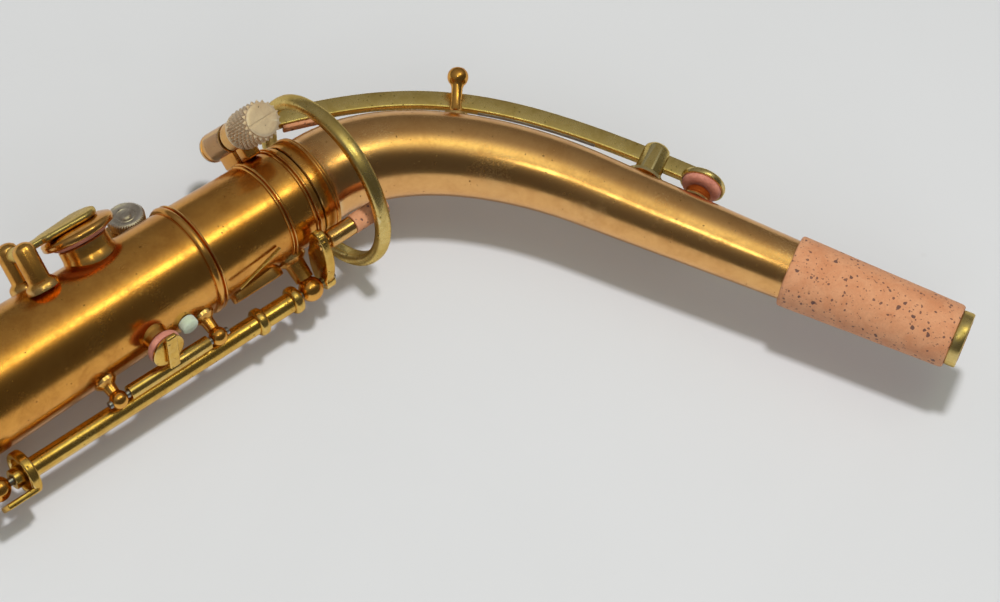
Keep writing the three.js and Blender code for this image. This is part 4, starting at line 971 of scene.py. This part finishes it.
# %% Rib under the upper lever post
rib_angle = math.degrees(math.atan2(LEVER.z, LEVER.y))
rib_out = radial(rib_angle)
rib = paddle("post_rib", 2.2, 4.2, 8.7, 5.0,
             basis(X, across(rib_angle), rib_out, rib_out * 10.6 + X * -29.2))
soften(rib, 0.5, 3, 50)
carve(rib, rod("wall", -60, 10, body_radius(-20) - 0.5, steps=ROUND))
settle(rib, "horn", lacquer, "lacquer", "lever_post_rib", angle=40)

# %% Needle spring of the keys beside the body, a thin round wire that leans against the rib
wire_from, wire_to = Vector((-31.6, -15.8, 3.5)), Vector((-17.3, -13.2, 5.4))
COILS, COIL = 34, ((0.05, 0.36), (0.5, 0.52), (0.95, 0.36))
pitch = (wire_to - wire_from).length / COILS
profile = [(0, 0)]
profile += [(pitch * (i + step), radius) for i in range(COILS) for step, radius in COIL]
profile.append((COILS * pitch, 0))
needle = lathe("needle_spring", profile, wire_from, wire_to - wire_from, 24)
settle(needle, "horn", lever_brass, "key_brass")

# %% Lever rod and tube
lever_rod = rod("lever_rod_steel", -111.6, -4.9, 1.1, LEVER)
soften(lever_rod, 0.2, 2, 60)
settle(lever_rod, "octave_lever", steel, "steel", "lever_rod")
profile = [(-103.5, 1.4), (-103.5, 2.4), (-103.3, 2.6)]
BULGE = ((-1.35, 2.6), (-1.2, 3.2), (-0.8, 3.55), (0, 3.65), (0.8, 3.55), (1.2, 3.2), (1.35, 2.6))
for at in (-28.4, -17.6):
    profile += [(at + step, radius) for step, radius in BULGE]
profile += [(-16.2, 2.6), (-16.0, 2.4), (-16.0, 1.4), (-103.5, 1.4)]
lever_tube = lathe("lever_tube_turned", profile, LEVER, X, 96)
settle(lever_tube, "octave_lever", lever_brass, "key_brass", "lever_tube", angle=35)

# %% [markdown]
# The leaf stands on the lever's end and carries the lift pin. It was cast, so its rim is thick
# and rounded. The pin's outer half wears a soft sleeve that keeps it quiet against the ring.
# %% Leaf, pin and sleeve
PIN = Vector((0, -17.8, 4.2))
reach = PIN - LEVER
leaf_up = reach.normalized()
leaf_side = Vector((0, -leaf_up.z, leaf_up.y))
half = reach.length / 2
LEAF_HALF_WIDTH, LEAF_MARGIN, RIBS = 4.3, 2.6, 7
leaf_middle = LEVER + leaf_up * (half + 0.6) - leaf_side * 1.1
leaf = paddle("lift_leaf_cast", 1, 1, 0.001, 2.7)
apply_place(leaf, basis(leaf_side * LEAF_HALF_WIDTH, leaf_up * (half + LEAF_MARGIN), X,
                        leaf_middle + X * -8.8))
soften(leaf, 0.9, 4, 40)
for i in range(RIBS):
    turn = math.radians(58 + 11 * i)
    at = leaf_middle + leaf_side * 4.35 * math.cos(turn) + leaf_up * (half + 2.65) * math.sin(turn)
    carve(leaf, rod("rib", -9.5, -7.4, 0.28, at, X, 16))
hub = rod("hub", -8.6, -5.9, 2.4, LEVER)
fuse(leaf, soften(hub, 0.35, 3, 50))
carve(leaf, rod("clear", -40, 40, 14.5, steps=ROUND), rod("seat", -12, 0, 1.2, LEVER),
      rod("seat", -12, 0, 1.6, PIN))
settle(leaf, "octave_lever", lever_brass, "key_brass", "lift_leaf", angle=45)
profile = [(-9.1, 0), (-9.1, 1.2), (-8.8, 1.5), (-5.9, 1.5), (-5.7, 2.1), (-5.4, 2.35), (1.6, 2.35),
           (1.9, 2.0), (1.9, 1.5), (12.2, 1.5), (12.4, 1.3), (12.4, 0)]
pin = lathe("lift_pin_turned", profile, PIN, X, 64)
settle(pin, "octave_lever", post_brass, "key_brass", "lift_pin")
sleeve = pipe("pin_sleeve", 1.9, 12.1, 2.5, 1.55, PIN, X, 96)
soften(sleeve, 0.3, 3)
settle(sleeve, "octave_lever", cork, "cork", "lift_pin_sleeve")

# %% Thumb touch: a thick hoop with a plate
out = LEVER.normalized()
hoop = pipe("thumb_touch_cast", -101.2, -98.5, 5.9, 4.3, LEVER)
soften(hoop, 0.65, 4, 50)
fuse(hoop, pipe("web", -99.3, -98.6, 4.6, 2.7, LEVER))
plate = block("plate", (9, 6.5, 1.6), (-2.0, 0, 5.0),
              basis(X, Vector((0, -out.z, out.y)), out, LEVER + X * -102.4))
fuse(hoop, soften(plate, 0.5, 3))
carve(hoop, rod("clear", -130, -95, 2.68, LEVER, X, 64))
settle(hoop, "octave_lever", lever_brass, "key_brass", "thumb_touch", angle=40)


# %% [markdown]
# A key closes its tone hole with a pad in a cup. The chimney is a short tube on the body. The
# pad is leather over felt, a little domed, and the cup is turned with a shallow crown.
# %% Chimney, pad and cup for both keys
PAD_THICK, CUP_CROWN = 2.2, 1.5


def chimney(name, key):
    wall = body_radius(key["x"])
    top = wall + key["rise"]
    outer = key["bore"] + key["wall"]
    shape = [(wall - 2.5, key["bore"]), (wall - 2.5, outer + 0.5), (wall - 0.6, outer + 0.5),
             (wall + 0.4, outer + 0.1),
             (wall + 0.9, outer), (top - 0.25, outer), (top, outer - 0.3),
             (top, key["bore"] + 0.25), (top - 0.2, key["bore"]), (wall - 2.5, key["bore"])]
    tube = lathe(name, shape, Vector((key["x"], 0, 0)), radial(key["angle"]), 96)
    return carve(tube, rod("bore", -120, 0, wall - BODY_WALL * 0.6, steps=ROUND))


def pad(name, key):
    low = body_radius(key["x"]) + key["rise"] + GAP
    outer = key["bore"] + key["wall"] + 1.1
    shape = [(low + 0.25, 0), (low + 0.2, key["bore"] * 0.7), (low, key["bore"] + 0.2),
             (low + 0.1, outer - 0.7),
             (low + 0.5, outer - 0.15), (low + 1.1, outer + 0.15), (low + 1.7, outer),
             (low + PAD_THICK, outer - 0.1), (low + PAD_THICK, 0)]
    return lathe(name, shape, Vector((key["x"], 0, 0)), radial(key["angle"]), 96)


def cup_floor(key):
    return body_radius(key["x"]) + key["rise"] + 2 * GAP + PAD_THICK


def cup(name, key, wider=0.0):
    inner = key["bore"] + key["wall"] + 1.4 + wider
    at = cup_floor(key)
    shape = [(at, 0), (at, inner), (at - 1.1, inner), (at - 1.2, inner + 0.15),
             (at - 1.2, inner + 0.6), (at - 1.0, inner + 0.8),
             (at + 0.2, inner + 0.8), (at + 0.6, inner + 0.5), (at + 0.9, inner - 0.3),
             (at + 1.25, inner - 1.4), (at + 1.45, inner - 2.4), (at + CUP_CROWN, 0)]
    return lathe(name, shape, Vector((key["x"], 0, 0)), radial(key["angle"]), 96)


settle(chimney("side_chimney_turned", SIDE), "horn", post_brass, "lacquer", "side_tone_chimney")
settle(pad("side_pad", SIDE), "side_key", leather, "leather", "side_key_pad", angle=60)
settle(cup("side_cup", SIDE, 0.9), "side_key", lacquer, "lacquer", "side_key_cup", angle=50)
settle(chimney("low_chimney_turned", LOW), "horn", post_brass, "lacquer", "low_tone_chimney")
settle(pad("low_pad", LOW), "low_key", leather, "leather", "low_key_pad", angle=60)
low_at, low_wide = cup_floor(LOW), LOW["bore"] + LOW["wall"] + 1.1
profile = [(low_at, 0), (low_at, low_wide - 0.2), (low_at + 0.2, low_wide),
           (low_at + 0.7, low_wide), (low_at + 1.0, low_wide - 0.5), (low_at + 1.3, low_wide - 1.5),
           (low_at + CUP_CROWN, low_wide - 2.6), (low_at + CUP_CROWN, 0)]
low_cup = lathe("low_cup", profile, X * LOW["x"], radial(LOW["angle"]), 96)
settle(low_cup, "low_key", lever_brass, "lacquer", "low_key_cup", angle=50)

# %% Side key: arm, two posts and their screw
side_up, side_across = radial(SIDE["angle"]), across(SIDE["angle"])
SIDE_X, POST_RADIUS, ARM_WIDE, ARM_THICK = -73.5, 2.9, 5.0, 1.8
arm_low = cup_floor(SIDE) + CUP_CROWN + 0.1
side_frame = basis(X, side_across, side_up, X * SIDE_X + side_up * arm_low)
side_arm = paddle("side_arm_cast", 3.6, 5.6, 8.0, ARM_THICK)
apply_place(side_arm, Matrix.Translation((SIDE["x"] - SIDE_X - 7.0, 0, 0)))
soften(side_arm, 0.7, 4, 40)
strap = block("strap", (11.4, ARM_WIDE - 0.4, ARM_THICK - 0.1), (4.7, 0, ARM_THICK / 2))
barrel = soften(rod("barrel", -2.5, 2.5, 1.95, Z * 0.9, Y), 0.3, 3, 50)
fuse(side_arm, soften(strap, 0.45, 3), barrel)
carve(side_arm, rod("hole", -9, 9, 1.0, Z * 0.9, Y, 32))
settle(apply_place(side_arm, side_frame), "side_key", key_brass, "key_brass", "side_key_arm",
       angle=40)
side_hinge = X * SIDE_X + side_up * (arm_low + 0.9)
foot, reach = body_radius(SIDE_X), arm_low + 0.9
half = ARM_WIDE / 2 + GAP + 2 * POST_RADIUS
for side, name in ((1, "side_key_post_front"), (-1, "side_key_post_back")):
    shape = [(foot - 1.0, 0), (foot - 1.0, 4.3), (foot + 0.3, 4.2), (foot + 0.8, 3.9),
             (foot + 1.2, 3.4), (foot + 1.5, 2.95),
             (foot + 2.0, POST_RADIUS), (reach + 1.0, POST_RADIUS), (reach + 2.0, 2.5),
             (reach + 2.6, 1.7), (reach + 2.95, 0.8), (reach + 3, 0)]
    offset = side * (ARM_WIDE / 2 + GAP + POST_RADIUS)
    post = lathe(name + "_turned", shape, X * SIDE_X + side_across * offset, side_up, 72)
    gap_block = block("gap", (14, ARM_WIDE + 0.6, 60), ORIGIN,
                      basis(X, side_across, side_up, X * SIDE_X))
    carve(post, gap_block, rod("hole", -12, half - 1.8, 1.0, side_hinge, side_across, 32),
          rod("bore", -90, -60, foot - 1.1, steps=ROUND))
    settle(post, "horn", post_brass, "lacquer", name)
head = [(-half + 2, 0), (-half + 2, 0.7), (-half + 2.2, 0.9), (half + 0.1, 0.9),
        (half + 0.1, 1.6), (half + 0.3, 1.7), (half + 0.9, 1.5), (half + 1.1, 0.9), (half + 1.1, 0)]
side_screw = lathe("side_screw", head, side_hinge, -side_across, 48)
settle(side_screw, "horn", steel, "steel", "side_key_screw")

# %% Low key: rod, tube, arm and its felt
low_rod = rod("low_rod_steel", -74.5, -38.2, 1.0, LOW_ROD)
soften(low_rod, 0.2, 2, 60)
settle(low_rod, "horn", steel, "steel", "low_key_rod")
low_tube = pipe("low_tube_turned", -68.5, -44.2, 1.9, 1.2, LOW_ROD)
soften(low_tube, 0.2, 2)
settle(low_tube, "low_key", lever_brass, "key_brass", "low_key_tube")
low_up = radial(LOW["angle"])
end = low_up * (cup_floor(LOW) + CUP_CROWN + 0.9)
low_side = Vector((0, low_up.z, -low_up.y))
low_arm = block("low_arm_flat", (3.2, 11, 1.5), (0, 1.6, 0),
                basis(X, low_side, -low_up, X * LOW["x"] + end))
soften(low_arm, 0.6, 4)
carve(low_arm, rod("clear", -90, -20, 1.3, LOW_ROD))
settle(low_arm, "low_key", lever_brass, "key_brass", "low_key_arm", angle=40)
felt_low = body_radius(-47) + 0.05
profile = [(felt_low, 0), (felt_low, 2.2), (felt_low + 0.4, 2.35), (felt_low + 2.0, 2.3),
           (felt_low + 2.35, 2.0), (felt_low + 2.45, 0)]
felt_stop = lathe("felt_stop", profile, X * -47, radial(176), 64)
settle(felt_stop, "horn", felt, "felt", "felt_bumper", angle=60)

# %% [markdown]
# The music holder's socket is a small square box on the back of the body. Its thumb screw has
# a coin edge, with fine straight teeth, and rings from the lathe on its face.
# %% Music holder socket and screw
LYRE_X, LYRE_ANGLE = -41.8, -19
lyre_up, lyre_across = radial(LYRE_ANGLE), across(LYRE_ANGLE)
lyre_middle = body_radius(LYRE_X) + 3.7
socket = block("lyre_socket_box", (8.4, 7, 8.0), (0, 0, lyre_middle - 0.3))
soften(socket, 0.5, 3)
carve(socket, block("way", (12, 3.6, 3.6), (0, 0, lyre_middle + 0.3)),
      rod("thread", 0, 12, 1.9, (1.6, 0, lyre_middle + 0.3), Y, 32))
apply_place(socket, basis(X, lyre_across, lyre_up, X * LYRE_X))
carve(socket, rod("wall", -60, 0, body_radius(LYRE_X) - 0.3, steps=ROUND))
settle(socket, "horn", lacquer, "lacquer", "lyre_socket", angle=40)
start, TEETH = 4.0, 44
RIM_RADIUS, TOOTH_FLOOR, TOOTH_DEPTH = 4.85, 4.5, 0.4
profile = [(2.1, 0), (2.1, 1.4), (2.3, 1.6), (start - 0.2, 1.6), (start, 1.9), (start, 3.6),
           (start + 0.3, 4.6)]
profile += [(start + 0.5 + 0.275 * i, RIM_RADIUS) for i in range(9)]
profile += [(start + 2.95, 4.5), (start + 3.15, 4.1), (start + 3.0, 3.8), (start + 2.75, 3.4),
            (start + 2.7, 2.6), (start + 2.85, 2.4), (start + 2.7, 2.2), (start + 2.6, 1.5),
            (start + 2.95, 1.2), (start + 3.1, 0.8), (start + 3.1, 0)]
lyre_screw = lathe("lyre_thumb_screw", profile, ORIGIN, Z, TEETH * 6)
for v in lyre_screw.data.vertices:
    if v.co.xy.length > 4.7:
        around = math.atan2(v.co.y, v.co.x) / (2 * math.pi) * TEETH
        radius = TOOTH_FLOOR + TOOTH_DEPTH * tooth(around)
        v.co = (v.co.xy.normalized() * radius).to_3d() + Z * v.co.z
stand(lyre_screw, X * (LYRE_X + 1.6) + lyre_up * (lyre_middle + 0.3), lyre_across)
settle(lyre_screw, "lyre_screw", nickel, "nickel", "lyre_screw", angle=40)

# %% [markdown]
# ## The end
# The curves that bent the neck and the arm are removed.
# %% Removing the bending curves
for curve in (neck_curve, arm_curve):
    bpy.data.objects.remove(curve)
